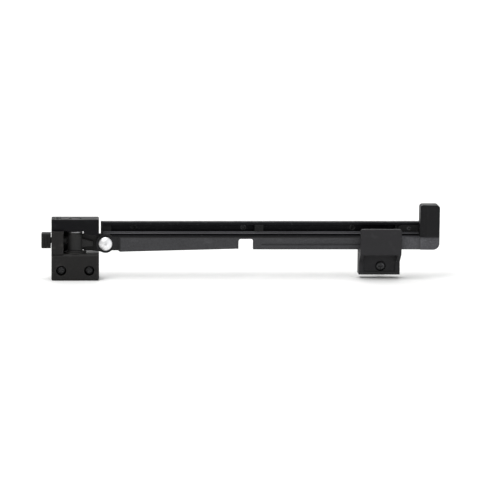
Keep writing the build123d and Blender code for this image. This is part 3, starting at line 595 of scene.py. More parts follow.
@dataclass(frozen=True)
class DrawnAnodised(Finish):
    """Anodised extrusion: die lines along X, and a painted highlight that makes the lower lip's
    front paler.
    """

    name: str
    skin: Colour
    rubbed: Colour
    roughness: float = 0.42
    metal_share: float = 0.2
    gloss: float = 0.12
    highlight_low_mm: float = 24.7
    highlight_low_fade_mm: float = 0.5
    highlight_high_mm: float = 26.2
    highlight_high_fade_mm: float = 0.4
    highlight_share: float = 0.85
    face_y_mm: float = -6.6
    face_fade_mm: float = 0.6
    line_mm: float = 0.35
    streak_mm: float = 1.6
    cloud_mm: float = 6.0
    fleck_mm: float = 1.5
    highlight_patch_mm: float = 30.0
    relief_mm: float = 0.03
    edge_mm: float = 0.3

    def paint(self, graph: SurfaceGraph) -> bpy.types.Material:
        """Lays die lines, cloudy dye, rubbed edges and a painted highlight on the lower lip over
        the metal.

        Args:
            graph: the empty graph.

        Returns:
            The finished material.
        """
        edge, rounded = graph.edges(self.edge_mm)
        drawn = graph.stretched((0.01, 1.0, 1.0))
        lines = graph.noise(self.line_mm, 2.0, drawn)
        dragged = graph.stretched((0.02, 1.0, 1.0))
        broad = graph.noise(self.streak_mm, 2.0, dragged).between(0.35, 0.68)
        dyed = graph.stretched((0.4, 1.0, 1.0))
        cloud = graph.noise(self.cloud_mm, 4.0, dyed).between(0.4, 0.7)
        fleck = graph.noise(self.fleck_mm, 4.0).between(0.56, 0.72)
        height = graph.along("Z")
        low, high, face = self.highlight_low_mm * MM, self.highlight_high_mm * MM, self.face_y_mm * MM
        rise = height.between(low, low + self.highlight_low_fade_mm * MM)
        fall = height.between(high, high + self.highlight_high_fade_mm * MM)
        behind = graph.along("Y").between(face, face + self.face_fade_mm * MM)
        patch_stretch = graph.stretched((0.5, 1.0, 1.0))
        highlight_patches = graph.noise(self.highlight_patch_mm, 3.0, patch_stretch).between(0.2, 0.6)
        # Painted highlight: the front face of the lower lip, between the two heights, is painted
        # paler where light falls.
        lip = rise * (1.0 - fall) * (1.0 - behind)
        painted_highlight = lip * (0.55 + highlight_patches * 0.45) * self.highlight_share
        base = graph.mixed(broad * 0.45 + cloud * 0.2, self.skin, tuple(c * 1.7 for c in self.skin))
        # The rubbed colour takes the painted highlight band as well as the real rubbed edges and
        # flecks.
        base = graph.mixed((painted_highlight + edge * 0.3 + fleck * 0.1).clamped(), base, self.rubbed)
        return graph.close(
            Base_Color=base,
            Metallic=self.metal_share,
            Roughness=self.roughness + (lines - 0.5) * 0.3 + cloud * 0.08,
            Specular_IOR_Level=self.gloss,
            Normal=graph.bumped(lines * 0.7 + broad * 0.3, self.relief_mm, 0.5, rounded),
        )


@dataclass(frozen=True)
class PaleFloor(Finish):
    """The studio's matt pale floor."""

    name: str = "studio_paper"
    tone: Colour = (0.86, 0.86, 0.855)
    tooth_mm: float = 1.2

    def paint(self, graph: SurfaceGraph) -> bpy.types.Material:
        """Lays a trace of paper tooth over the tone.

        Args:
            graph: the empty graph.

        Returns:
            The finished material.
        """
        tooth = graph.noise(self.tooth_mm, 2.0)
        base = graph.mixed(tooth * 0.25, self.tone, tuple(c * 0.97 for c in self.tone))
        return graph.close(
            Base_Color=base, Roughness=0.85 + (tooth - 0.5) * 0.1, Specular_IOR_Level=0.2
        )


RIVET_CENTRE = (21.6 * MM, -12.5 * MM, 18.7 * MM)
BRACKET_COAT = PowderCoat(
    "bracket_coat", (0.0095, 0.009, 0.0087), (0.06, 0.058, 0.055), grain_mm=0.8, wear=0.7
)
CAP_COAT = PowderCoat(
    "cap_coat", (0.0025, 0.0025, 0.0033), (0.022, 0.022, 0.024), grain_mm=0.8, wear=0.5, gloss=0.12
)
KNUCKLE_COAT = PowderCoat(
    "knuckle_coat", (0.015, 0.015, 0.0148), (0.09, 0.088, 0.086), grain_mm=0.7, wear=0.8
)
# Arm: painted shade darkens its top edge, and a painted shadow darkens its end beside the rivet
# joint.
ARM_COAT = PowderCoat(
    "arm_coat",
    (0.041, 0.041, 0.0435),
    (0.1, 0.1, 0.105),
    grain_mm=0.9,
    grain_contrast=0.2,
    wear=0.35,
    roughness=0.66,
    gloss=0.16,
    painted_shade=(0.006, 0.006, 0.0065),
    painted_shade_from_mm=22.6,
    painted_shade_fade_mm=0.8,
    painted_shadow_to_mm=31.9,
    painted_shadow_share=0.8,
)
# Elbow: pale specks are painted glints on the lower leg, and the upright above 22.6 mm is painted
# darker as shade.
ELBOW_COAT = PowderCoat(
    "elbow_coat",
    (0.058, 0.058, 0.063),
    (0.16, 0.16, 0.17),
    grain_mm=0.7,
    grain_contrast=0.3,
    glint_speck_share=0.25,
    relief_mm=0.1,
    painted_shade=(0.0045, 0.0045, 0.0052),
    painted_shade_from_mm=22.6,
)
KEEPER_NYLON = MouldedNylon("keeper_moulding", (0.017, 0.0165, 0.018), (0.055, 0.054, 0.057))
BLACK_NYLON = MouldedNylon("black_moulding", (0.006, 0.006, 0.006), (0.03, 0.03, 0.029))
WASHER_NYLON = MouldedNylon("washer_moulding", (0.03, 0.03, 0.029), (0.07, 0.07, 0.068))
PAD_NYLON = MouldedNylon("pad_moulding", (0.16, 0.155, 0.14), (0.3, 0.29, 0.27), texture_mm=0.25)
BLACK_STEEL = PlatedSteel("oiled_steel", (0.07, 0.07, 0.072), (0.03, 0.03, 0.03), roughness=0.42)
ZINC_STEEL = PlatedSteel("zinc_plate", (0.48, 0.49, 0.5), (0.28, 0.28, 0.27))
SPRING_STEEL = PlatedSteel("spring_wire", (0.3, 0.3, 0.31), (0.14, 0.13, 0.12), roughness=0.3)
RIVET_METAL = SpunMetal("rivet_metal", (0.86, 0.86, 0.87), RIVET_CENTRE, roughness=0.36)
# Its second colour serves both the real rubbed edges and the painted highlight on the lower lip.
TRACK_SKIN = DrawnAnodised("track_skin", (0.0045, 0.0045, 0.0055), (0.13, 0.13, 0.138))


# ---------------------------------------------------------------- mesh helpers
TURNING_WELD = 1e-7
SECTION_WELD = 1e-6


def smooth_by_angle(mesh: bpy.types.Mesh, limit_deg: float = 34.0) -> None:
    """Shades a mesh smooth and keeps its sharp edges.

    Args:
        mesh: the mesh to shade.
        limit_deg: edges that bend more than this stay sharp.
    """
    work = bmesh.new()
    work.from_mesh(mesh)
    for face in work.faces:
        face.smooth = True
    for edge in work.edges:
        if len(edge.link_faces) == 2:
            edge.smooth = edge.calc_face_angle(0.0) < math.radians(limit_deg)
    work.to_mesh(mesh)
    work.free()


def lathe(profile: Sequence[tuple[float, float]], segments: int = 48) -> bpy.types.Mesh:
    """Turns a profile round Z into a closed mesh.

    Args:
        profile: (radius, height) points in metres; the first and last lie on the axis.
        segments: how many sides the turning has.

    Returns:
        The mesh, its faces outward.
    """
    work = bmesh.new()
    verts = [work.verts.new((radius, 0.0, height)) for radius, height in profile]
    for first, second in zip(verts, verts[1:]):
        work.edges.new((first, second))
    bmesh.ops.spin(
        work,
        geom=list(work.verts) + list(work.edges),
        axis=(0, 0, 1),
        cent=(0, 0, 0),
        steps=segments,
        angle=math.tau,
    )
    bmesh.ops.remove_doubles(work, verts=work.verts, dist=TURNING_WELD)
    bmesh.ops.recalc_face_normals(work, faces=work.faces)
    mesh = bpy.data.meshes.new("lathe")
    work.to_mesh(mesh)
    work.free()
    return mesh


def prism(outline: Sequence[tuple[float, float]], low: float, high: float) -> bpy.types.Mesh:
    """Raises an outline in XY into a closed prism along Z.

    Args:
        outline: the corners in order, in metres.
        low: the height of the bottom.
        high: the height of the top.

    Returns:
        The mesh, its faces outward.
    """
    work = bmesh.new()
    face = work.faces.new([work.verts.new((x, y, low)) for x, y in outline])
    raised = bmesh.ops.extrude_face_region(work, geom=[face])
    moved = [item for item in raised["geom"] if isinstance(item, bmesh.types.BMVert)]
    bmesh.ops.translate(work, verts=moved, vec=(0, 0, high - low))
    bmesh.ops.recalc_face_normals(work, faces=work.faces)
    mesh = bpy.data.meshes.new("prism")
    work.to_mesh(mesh)
    work.free()
    return mesh


def new_object(name: str, mesh: bpy.types.Mesh) -> bpy.types.Object:
    """Links a mesh into the scene.

    Args:
        name: the piece's name.
        mesh: its mesh.

    Returns:
        The object, at the origin.
    """
    made = bpy.data.objects.new(name, mesh)
    bpy.context.scene.collection.objects.link(made)
    return made


def baked(source: bpy.types.Object) -> bpy.types.Mesh:
    """The mesh that an object's modifiers make of it.

    Args:
        source: the object; it loses its modifiers.

    Returns:
        A plain mesh.
    """
    graph = bpy.context.evaluated_depsgraph_get()
    mesh = bpy.data.meshes.new_from_object(source.evaluated_get(graph), depsgraph=graph)
    source.modifiers.clear()
    return mesh


def carved(mesh: bpy.types.Mesh, cutter: bpy.types.Mesh) -> bpy.types.Mesh:
    """Cuts one mesh out of another.

    Args:
        mesh: what is cut.
        cutter: what is taken away.

    Returns:
        The carved mesh.
    """
    body, tool = new_object("carve_body", mesh), new_object("carve_tool", cutter)
    cut = body.modifiers.new("cut", "BOOLEAN")
    cut.operation, cut.solver, cut.object = "DIFFERENCE", "EXACT", tool
    result = baked(body)
    bpy.data.objects.remove(body)
    bpy.data.objects.remove(tool)
    return result


# ---------------------------------------------------------------- geometry node trees
SHANK_SIDES = 28
THREAD_SIDES = 4
THREAD_STEPS = 22
TIP_END = 0.1 * MM
COIL_STEPS = 36
RING_STEPS = 40
WIRE_SIDES = 12


class FormGraph(Graph):
    """A geometry tree with named inputs, which ends in Realize Instances and Set Material."""

    KINDS = {
        float: "NodeSocketFloat",
        int: "NodeSocketInt",
        Vector: "NodeSocketVector",
    }

    def __init__(self, name: str, inputs: dict[str, type]) -> None:
        """Makes the tree and its inputs.

        Args:
            name: the tree's name.
            inputs: each input's name and Python type.
        """
        super().__init__(bpy.data.node_groups.new(name, "GeometryNodeTree"))
        face = self.tree.interface
        face.new_socket("Geometry", in_out="INPUT", socket_type="NodeSocketGeometry")
        for label, kind in inputs.items():
            face.new_socket(label, in_out="INPUT", socket_type=self.KINDS[kind])
        face.new_socket("Material", in_out="INPUT", socket_type="NodeSocketMaterial")
        face.new_socket("Geometry", in_out="OUTPUT", socket_type="NodeSocketGeometry")
        self.inlet = self.node("NodeGroupInput")

    def named(self, label: str) -> Value:
        """One of the tree's inputs, ready for arithmetic."""
        return Value(self, self.inlet.outputs[label])

    def join(self, *shapes: Any) -> Any:
        """Joins geometries.

        Args:
            shapes: geometry sockets.

        Returns:
            The joined geometry socket.
        """
        made = self.node("GeometryNodeJoinGeometry")
        for shape in shapes:
            self.tree.links.new(shape, made.inputs[0])
        return made.outputs[0]

    def moved(self, shape: Any, up: Any = None, turn: Any = None, by: Any = None) -> Any:
        """Moves or turns a geometry.

        Args:
            shape: the geometry socket.
            up: how far along Z.
            turn: Euler angles in radians, or a socket with them.
            by: a translation vector, in place of up.

        Returns:
            The moved geometry socket.
        """
        sockets: dict[Union[str, int], Any] = {"Geometry": shape}
        if up is not None:
            lift = self.node("ShaderNodeCombineXYZ", None, {"Z": up})
            sockets["Translation"] = lift.outputs[0]
        if by is not None:
            sockets["Translation"] = by
        if turn is not None:
            sockets["Rotation"] = turn
        return self.node("GeometryNodeTransform", None, sockets).outputs[0]

    def tube(self, path: Any, radius: Any, sides: int) -> Any:
        """Sweeps a round section along a curve.

        Args:
            path: the curve socket.
            radius: the section's radius.
            sides: how many sides the section has.

        Returns:
            The closed mesh socket.
        """
        ring = self.node(
            "GeometryNodeCurvePrimitiveCircle", None, {"Resolution": sides, "Radius": radius}
        )
        made = self.node(
            "GeometryNodeCurveToMesh",
            None,
            {"Curve": path, "Profile Curve": ring.outputs[0], "Fill Caps": True},
        )
        return made.outputs[0]

    def end(self, shape: Any) -> bpy.types.NodeTree:
        """Closes the tree.

        Args:
            shape: the geometry socket to give out.

        Returns:
            The finished tree.
        """
        real = self.node("GeometryNodeRealizeInstances", None, {"Geometry": shape})
        clad = self.node(
            "GeometryNodeSetMaterial",
            None,
            {"Geometry": real.outputs[0], "Material": self.inlet.outputs["Material"]},
        )
        self.node("NodeGroupOutput", None, {0: clad.outputs[0]})
        return self.tree


def grow(
    name: str,
    seed_mesh: bpy.types.Mesh,
    tree: bpy.types.NodeTree,
    values: dict[str, Any],
    finish: Finish,
) -> bpy.types.Object:
    """Runs a geometry tree and keeps its result as a plain piece.

    Args:
        name: the piece's name.
        seed_mesh: the geometry that the tree starts from.
        tree: the geometry tree.
        values: each named input's value.
        finish: the finish that the tree sets.

    Returns:
        The piece, with no modifier left on it.
    """
    piece = new_object(name, seed_mesh)
    modifier = piece.modifiers.new("form", "NODES")
    modifier.node_group = tree
    sockets = {item.name: item for item in tree.interface.items_tree if item.in_out == "INPUT"}
    for label, value in {**values, "Material": finish.material()}.items():
        modifier[sockets[label].identifier] = value
    piece.data = baked(piece)
    smooth_by_angle(piece.data)
    return piece


@cache
def screw_tree() -> bpy.types.NodeTree:
    """Makes a row of screws: the seed mesh is the head, and the shank grows from it along Z.

    Returns:
        The tree, made once.
    """
    graph = FormGraph(
        "screw_row",
        {
            "Count": int,
            "Start": Vector,
            "Step": Vector,
            "Turn": Vector,
            "Neck radius": float,
            "Neck length": float,
            "Core radius": float,
            "Thread height": float,
            "Thread length": float,
            "Thread pitch": float,
            "Tip length": float,
        },
    )
    neck_length = graph.named("Neck length")
    thread_length = graph.named("Thread length")
    core = graph.named("Core radius")
    neck = graph.node(
        "GeometryNodeMeshCylinder",
        None,
        {
            "Vertices": SHANK_SIDES,
            "Radius": graph.named("Neck radius"),
            "Depth": neck_length,
        },
    )
    shank = graph.node(
        "GeometryNodeMeshCylinder",
        None,
        {"Vertices": SHANK_SIDES, "Radius": core, "Depth": thread_length},
    )
    tip = graph.node(
        "GeometryNodeMeshCone",
        None,
        {
            "Vertices": SHANK_SIDES,
            "Radius Top": TIP_END,
            "Radius Bottom": core,
            "Depth": graph.named("Tip length"),
        },
    )
    helix = graph.node(
        "GeometryNodeCurveSpiral",
        None,
        {
            "Resolution": THREAD_STEPS,
            "Rotations": thread_length / graph.named("Thread pitch"),
            "Start Radius": core,
            "End Radius": core,
            "Height": thread_length,
        },
    )
    thread = graph.tube(helix.outputs[0], graph.named("Thread height"), THREAD_SIDES)
    screw = graph.join(
        graph.inlet.outputs["Geometry"],
        graph.moved(neck.outputs["Mesh"], neck_length * 0.5),
        graph.moved(shank.outputs["Mesh"], neck_length + thread_length * 0.5),
        graph.moved(tip.outputs["Mesh"], neck_length + thread_length),
        graph.moved(thread, neck_length),
    )
    turned = graph.moved(screw, turn=graph.inlet.outputs["Turn"])
    row = graph.node(
        "GeometryNodeMeshLine",
        {"mode": "OFFSET"},
        {
            "Count": graph.named("Count"),
            "Start Location": graph.inlet.outputs["Start"],
            "Offset": graph.inlet.outputs["Step"],
        },
    )
    placed = graph.node(
        "GeometryNodeInstanceOnPoints", None, {"Points": row.outputs[0], "Instance": turned}
    )
    return graph.end(placed.outputs[0])


def spring_tree() -> bpy.types.NodeTree:
    """Makes a compression spring along Z with a closed ring at each end.

    Returns:
        The tree.
    """
    graph = FormGraph(
        "coil_spring",
        {
            "Coil radius": float,
            "Wire radius": float,
            "Length": float,
            "Turns": float,
            "Place": Vector,
            "Turn": Vector,
        },
    )
    length, coil = graph.named("Length"), graph.named("Coil radius")
    helix = graph.node(
        "GeometryNodeCurveSpiral",
        None,
        {
            "Resolution": COIL_STEPS,
            "Rotations": graph.named("Turns"),
            "Start Radius": coil,
            "End Radius": coil,
            "Height": length,
        },
    )
    ring = graph.node(
        "GeometryNodeCurvePrimitiveCircle", None, {"Resolution": RING_STEPS, "Radius": coil}
    )
    wire = graph.named("Wire radius")
    end_ring = graph.tube(ring.outputs[0], wire, WIRE_SIDES)
    shape = graph.join(
        graph.tube(helix.outputs[0], wire, WIRE_SIDES), end_ring, graph.moved(end_ring, length)
    )
    outlets = graph.inlet.outputs
    return graph.end(graph.moved(shape, turn=outlets["Turn"], by=outlets["Place"]))


def extrusion_tree() -> bpy.types.NodeTree:
    """Makes a straight extrusion: the seed mesh is the section's outline in XY, raised along Z.

    Returns:
        The tree.
    """
    graph = FormGraph(
        "extrusion", {"Length": float, "Corner radius": float, "Place": Vector, "Turn": Vector}
    )
    outline = graph.node(
        "GeometryNodeMeshToCurve", None, {"Mesh": graph.inlet.outputs["Geometry"]}
    )
    soft = graph.node(
        "GeometryNodeFilletCurve",
        None,
        {
            "Curve": outline.outputs[0],
            "Radius": graph.named("Corner radius"),
            "Limit Radius": True,
        },
    )
    section = graph.node("GeometryNodeFillCurve", None, {"Curve": soft.outputs[0]})
    reach = graph.node("ShaderNodeCombineXYZ", None, {"Z": graph.named("Length")})
    raised = graph.node(
        "GeometryNodeExtrudeMesh",
        {"mode": "FACES"},
        {
            "Mesh": section.outputs[0],
            "Offset": reach.outputs[0],
            "Offset Scale": 1.0,
            "Individual": False,
        },
    )
    underside = graph.node("GeometryNodeFlipFaces", None, {"Mesh": section.outputs[0]})
    solid = graph.node(
        "GeometryNodeMergeByDistance",
        None,
        {
            "Geometry": graph.join(raised.outputs["Mesh"], underside.outputs[0]),
            "Distance": SECTION_WELD,
        },
    )
    outlets = graph.inlet.outputs
    return graph.end(graph.moved(solid.outputs[0], turn=outlets["Turn"], by=outlets["Place"]))


# ---------------------------------------------------------------- screws
class Drive(Enum):
    """The recess in a screw's head."""

    CROSS = "cross"
    HEX = "hex"


class Heading(Enum):
    """The way that a screw's tip points, as Euler angles that turn +Z to it."""

    OUT = (-math.pi / 2, 0.0, 0.0)
    DOWN = (math.pi, 0.0, 0.0)


@dataclass
class ScrewRow:
    """Like screws in a row, with sizes in millimetres.

    A head's profile holds (radius, height) points from its crown to its neck, where the
    height is 0 on the seat of a pan or socket head and on the crown of a countersunk one.
    """

    CROSS_ROOT = 0.22
    CROSS_ARMS = 4
    HEX_CORNERS = 6

    piece: str
    body: str
    slot: str
    replaced: str
    profile: Profile
    start: Point
    step: Point
    count: int
    heading: Heading
    drive: Drive
    neck_radius: float
    neck_length: float
    thread_radius: float
    thread_length: float
    thread_pitch: float = 1.4
    tip_length: float = 3.0
    thread_height: float = 0.45
    recess_depth: float = 1.4
    recess_reach: float = 1.95

    def recess(self) -> bpy.types.Mesh:
        """Makes the cutter that sinks the drive into the crown.

        Returns:
            The cutter.
        """
        crown = self.profile[0][1] * MM
        reach = self.recess_reach * MM
        if self.drive is Drive.HEX:
            turns = [i * math.tau / self.HEX_CORNERS for i in range(self.HEX_CORNERS)]
            outline = [(reach * math.cos(turn), reach * math.sin(turn)) for turn in turns]
        else:
            root = self.CROSS_ROOT * reach
            outline = []
            for i in range(self.CROSS_ARMS):
                turn = i * math.tau / self.CROSS_ARMS
                across, along = math.cos(turn), math.sin(turn)
                for x, y in ((root, root), (root, reach), (-root, reach)):
                    outline.append((x * across - y * along, x * along + y * across))
        return prism(outline, crown - MM, crown + self.recess_depth * MM)

    def head(self) -> bpy.types.Mesh:
        """The turned head with its recess."""
        turned = lathe([(radius * MM, height * MM) for radius, height in self.profile])
        return carved(turned, self.recess())

    def build(self, finish: Finish) -> bpy.types.Object:
        """Makes the row and puts it on its body.

        Args:
            finish: the screws' finish.

        Returns:
            The piece.
        """
        piece = grow(
            self.piece,
            self.head(),
            screw_tree(),
            {
                "Count": self.count,
                "Start": [c * MM for c in self.start],
                "Step": [c * MM for c in self.step],
                "Turn": list(self.heading.value),
                "Neck radius": self.neck_radius * MM,
                "Neck length": self.neck_length * MM,
                "Core radius": (self.thread_radius - self.thread_height) * MM,
                "Thread height": self.thread_height * MM,
                "Thread length": self.thread_length * MM,
                "Thread pitch": self.thread_pitch * MM,
                "Tip length": self.tip_length * MM,
            },
            finish,
        )
        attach(piece, self.body)
        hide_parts(self.replaced)
        return piece


def pan_head(radius: float, height: float, neck: float) -> Profile:
    """A pan head's profile, crown first.

    Args:
        radius: the head's radius in millimetres.
        height: the head's height.
        neck: the radius under it.

    Returns:
        (radius, height) points with the seat at 0.
    """
    steps, rim, skirt, bevel = 8, 0.35, 0.12, 0.1
    turns = [i * math.pi / (2 * steps) for i in range(steps + 1)]
    dome = [
        (radius * math.sin(turn), -height * (rim + (1.0 - rim) * math.cos(turn))) for turn in turns
    ]
    base = [(radius, -skirt * height), (radius - bevel * height, 0.0), (neck, 0.0), (0.0, 0.0)]
    return [*dome, *base]


def socket_head(radius: float, height: float) -> Profile:
    """A low socket head's profile, crown first.

    Args:
        radius: the head's radius in millimetres.
        height: the head's height.

    Returns:
        (radius, height) points with the seat at 0.
    """
    bevel, relief = 0.3, 0.2
    return [
        (0.0, -height),
        (radius - bevel, -height),
        (radius, bevel - height),
        (radius, -relief),
        (radius - relief, 0.0),
        (0.0, 0.0),
    ]


def countersunk_head(radius: float, neck: float) -> Profile:
    """A flat countersunk head's profile, crown first.

    Args:
        radius: the head's radius in millimetres.
        neck: the radius where the cone ends.

    Returns:
        (radius, height) points with the crown at 0.
    """
    edge = 0.1
    depth = radius - neck + edge
    return [(0.0, 0.0), (radius - edge, 0.0), (radius, edge), (neck, depth), (0.0, depth)]


@dataclass(frozen=True)
class FrameScrew:
    """The pan-head screw that holds hardware to the window frame, in millimetres."""

    head_radius: float = 3.4
    head_height: float = 2.3
    neck: float = 1.7
    thread: float = 1.9
    thread_length: float = 9.0

    def row(self, piece: str, replaced: str, start: Point, step: Point, count: int) -> ScrewRow:
        """Lays out screws of this kind.

        Args:
            piece: the new piece's name.
            replaced: the CAD node that it stands for.
            start: the first screw's seat.
            step: the way from one screw to the next.
            count: how many screws there are.

        Returns:
            The row, not yet built.
        """
        return ScrewRow(
            piece=piece,
            body="frame_side",
            slot="black_screw",
            replaced=replaced,
            profile=pan_head(self.head_radius, self.head_height, self.neck),
            start=start,
            step=step,
            count=count,
            heading=Heading.OUT,
            drive=Drive.CROSS,
            neck_radius=self.neck,
            neck_length=-start[1],
            thread_radius=self.thread,
            thread_length=self.thread_length,
        )


# ---------------------------------------------------------------- sub-assemblies
@dataclass
class SubAssembly:
    """Pieces that belong together, and the finish of each CAD node among them."""

    finishes: dict[str, Finish]

    def dress(self) -> None:
        """Gives each CAD node its finish."""
        for node, finish in self.finishes.items():
            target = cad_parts[node]
            target.data.materials.clear()
            target.data.materials.append(finish.material())
            LOG.info("%s: %s dressed in %s", type(self).__name__, node, finish.name)

    def build(self) -> None:
        """Makes the pieces that stand for CAD nodes; none by default."""

    def report(self, piece: bpy.types.Object) -> None:
        """Logs a piece that was made.

        Args:
            piece: the finished piece.
        """
        LOG.info("%s: made %s, %d faces", type(self).__name__, piece.name, len(piece.data.polygons))


@dataclass
class FrameBracket(SubAssembly):
    """The bracket on the window frame: body, cap, swivel pin, friction stack and lock slide."""

    finishes: dict[str, Finish] = field(
        default_factory=lambda: {
            "bracket_body": BRACKET_COAT,
            "bracket_cap": CAP_COAT,
            "swivel_pin": BLACK_STEEL,
            "friction_washer_lower": WASHER_NYLON,
            "friction_washer_upper": WASHER_NYLON,
            "cone_spring_washer": SPRING_STEEL,
            "lock_slide": BLACK_NYLON,
        }
    )
    screw_seat_y: float = -16.0
    screw_spacing: float = 20.0
    cap_screw_x: float = -12.7
    cap_screw_y: float = -5.0
    cap_screw_gap: float = 9.0
    cap_screw_seat: float = 34.6
    cap_screw_head_radius: float = 2.8
    cap_screw_head_height: float = 1.7
    cap_screw_radius: float = 1.5
    cap_screw_neck: float = 4.0
    cap_screw_thread: float = 4.5
    lock_y: float = -12.5
    lock_z: float = 21.0
    spring_start: float = -14.15
    spring_radius: float = 2.65
    spring_length: float = 4.9
    spring_turns: float = 4.3
    spring_wire: float = 0.3
    spring_keep: float = 0.59

    def build(self) -> None:
        """Makes the frame screws, the cap screws and the lock spring."""
        seat = (-self.screw_spacing / 2, self.screw_seat_y, 0.0)
        step = (self.screw_spacing, 0.0, 0.0)
        row = FrameScrew().row("frame_screws_cut", "frame_screws", seat, step, 2)
        self.report(row.build(BLACK_STEEL))
        self.report(self.cap_screws().build(BLACK_STEEL))
        self.report(self.lock_spring())

    def cap_screws(self) -> ScrewRow:
        """Lays out the socket screws that hold the cap on its pillar.

        Returns:
            The row, not yet built.
        """
        return ScrewRow(
            piece="cap_screws_cut",
            body="frame_side",
            slot="black_screw",
            replaced="cap_screws",
            profile=socket_head(self.cap_screw_head_radius, self.cap_screw_head_height),
            start=(self.cap_screw_x, self.cap_screw_y, self.cap_screw_seat),
            step=(0.0, -self.cap_screw_gap, 0.0),
            count=2,
            heading=Heading.DOWN,
            drive=Drive.HEX,
            neck_radius=self.cap_screw_radius,
            neck_length=self.cap_screw_neck,
            thread_radius=self.cap_screw_radius,
            thread_length=self.cap_screw_thread,
            thread_pitch=0.7,
            tip_length=0.5,
            thread_height=0.25,
            recess_depth=1.1,
            recess_reach=1.4,
        )

    def lock_spring(self) -> bpy.types.Object:
        """Makes the coil spring that the lock slide presses flatter when it is pulled.

        Returns:
            The spring.
        """
        spring = grow(
            "lock_spring_coil",
            bpy.data.meshes.new("no_seed"),
            spring_tree(),
            {
                "Coil radius": self.spring_radius * MM,
                "Wire radius": self.spring_wire * MM,
                "Length": self.spring_length * MM,
                "Turns": self.spring_turns,
                "Place": [self.spring_start * MM, self.lock_y * MM, self.lock_z * MM],
                "Turn": [0.0, math.pi / 2, 0.0],
            },
            SPRING_STEEL,
        )
        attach(spring, "frame_side")
        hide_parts("lock_spring")
        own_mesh(spring)
        return spring


@dataclass
class Swivel(SubAssembly):
    """The knuckle that turns on the bracket's pin, and its bush."""

    finishes: dict[str, Finish] = field(
        default_factory=lambda: {"swivel_knuckle": KNUCKLE_COAT, "swivel_bush": PAD_NYLON}
    )


@dataclass
class StayArm(SubAssembly):
    """The notched arm with its rivet and washers."""

    finishes: dict[str, Finish] = field(
        default_factory=lambda: {
            "stay_arm": ARM_COAT,
            "arm_rivet": RIVET_METAL,
            "arm_friction_washer": PAD_NYLON,
            "rivet_back_washer": ZINC_STEEL,
        }
    )


@dataclass
class ElbowGrip(SubAssembly):
    """The L-shaped elbow with the pin that joins it to the arm and the stud of the shoe."""

    finishes: dict[str, Finish] = field(
        default_factory=lambda: {
            "elbow_grip": ELBOW_COAT,
            "elbow_pin": BLACK_STEEL,
            "shoe_stud": ZINC_STEEL,
        }
    )


@dataclass
class FrictionShoe(SubAssembly):
    """The shoe that rubs in the track, with its brake pad and tension screw."""

    finishes: dict[str, Finish] = field(
        default_factory=lambda: {
            "friction_shoe": BLACK_NYLON,
            "tension_screw": BLACK_STEEL,
            "brake_pad": PAD_NYLON,
        }
    )


@dataclass
class SashTrack(SubAssembly):
    """The channel on the sash, its caps, stop and screws. Sizes are in millimetres."""

    finishes: dict[str, Finish] = field(
        default_factory=lambda: {
            "track_cap_left": BLACK_NYLON,
            "track_cap_right": BLACK_NYLON,
            "travel_stop": BLACK_NYLON,
        }
    )
    depth: float = 7.0
    back: float = 2.4
    lip: float = 1.2
    wall: float = 1.2
    slot_low: float = 26.6
    slot_high: float = 31.2
    bead: float = 0.3
    corner: float = 0.3
    groove_shares: tuple[float, ...] = (0.3, 0.72)
    screw_x: float = 42.0
    screw_gap: float = 79.0
    screw_head_radius: float = 2.2
    screw_neck: float = 1.25
    screw_thread: float = 1.45

    def section(self, low: float, high: float) -> bpy.types.Mesh:
        """Draws the channel's outline, with die grooves along the lower lip.

        Args:
            low: the channel's lower face, in millimetres.
            high: its upper face.

        Returns:
            A ring of edges in XY, where X is the depth and Y the height.
        """
        front, inside = -self.depth, -self.depth + self.lip
        lip_height = self.slot_low - low
        corners = [(0.0, low), (front, low)]
        for share in self.groove_shares:
            middle = low + share * lip_height
            corners += [
                (front, middle - self.bead),
                (front + self.bead, middle - 0.5 * self.bead),
                (front + self.bead, middle + 0.5 * self.bead),
                (front, middle + self.bead),
            ]
        corners += [
            (front, self.slot_low),
            (inside, self.slot_low),
            (inside, low + self.wall),
            (-self.back, low + self.wall),
            (-self.back, high - self.wall),
            (inside, high - self.wall),
            (inside, self.slot_high),
            (front, self.slot_high),
            (front, high),
            (0.0, high),
        ]
        count = len(corners)
        mesh = bpy.data.meshes.new("track_section")
        mesh.from_pydata(
            [(x * MM, y * MM, 0.0) for x, y in corners],
            [(i, (i + 1) % count) for i in range(count)],
            [],
        )
        return mesh

    def build(self) -> None:
        """Makes the channel and its screws."""
        low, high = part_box("sash_track")
        channel = grow(
            "sash_channel",
            self.section(low.z / MM, high.z / MM),
            extrusion_tree(),
            {
                "Length": high.x - low.x,
                "Corner radius": self.corner * MM,
                "Place": [low.x, 0.0, 0.0],
                "Turn": [math.pi / 2, 0.0, math.pi / 2],
            },
            TRACK_SKIN,
        )
        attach(channel, "track")
        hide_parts("sash_track")
        self.report(channel)
        self.report(
            ScrewRow(
                piece="track_screws_cut",
                body="track",
                slot="black_screw",
                replaced="track_screws",
                profile=countersunk_head(self.screw_head_radius, self.screw_neck),
                start=(self.screw_x, -self.back, (self.slot_low + self.slot_high) / 2),
                step=(self.screw_gap, 0.0, 0.0),
                count=3,
                heading=Heading.OUT,
                drive=Drive.CROSS,
                neck_radius=self.screw_neck,
                neck_length=self.back,
                thread_radius=self.screw_thread,
                thread_length=9.0,
                thread_pitch=1.1,
                thread_height=0.3,
                recess_depth=0.8,
                recess_reach=1.35,
            ).build(BLACK_STEEL)
        )


@dataclass
class Keeper(SubAssembly):
    """The keeper on the window frame, with its leaf spring and screw."""

    finishes: dict[str, Finish] = field(
        default_factory=lambda: {"keeper": KEEPER_NYLON, "keeper_spring": SPRING_STEEL}
    )
    screw_x: float = 220.0
    screw_z: float = 1.9
    screw_seat_y: float = -8.9

    def build(self) -> None:
        """Makes the keeper's screw."""
        seat = (self.screw_x, self.screw_seat_y, self.screw_z)
        row = FrameScrew().row("keeper_screw_cut", "keeper_screw", seat, (1.0, 0.0, 0.0), 1)
        self.report(row.build(BLACK_STEEL))


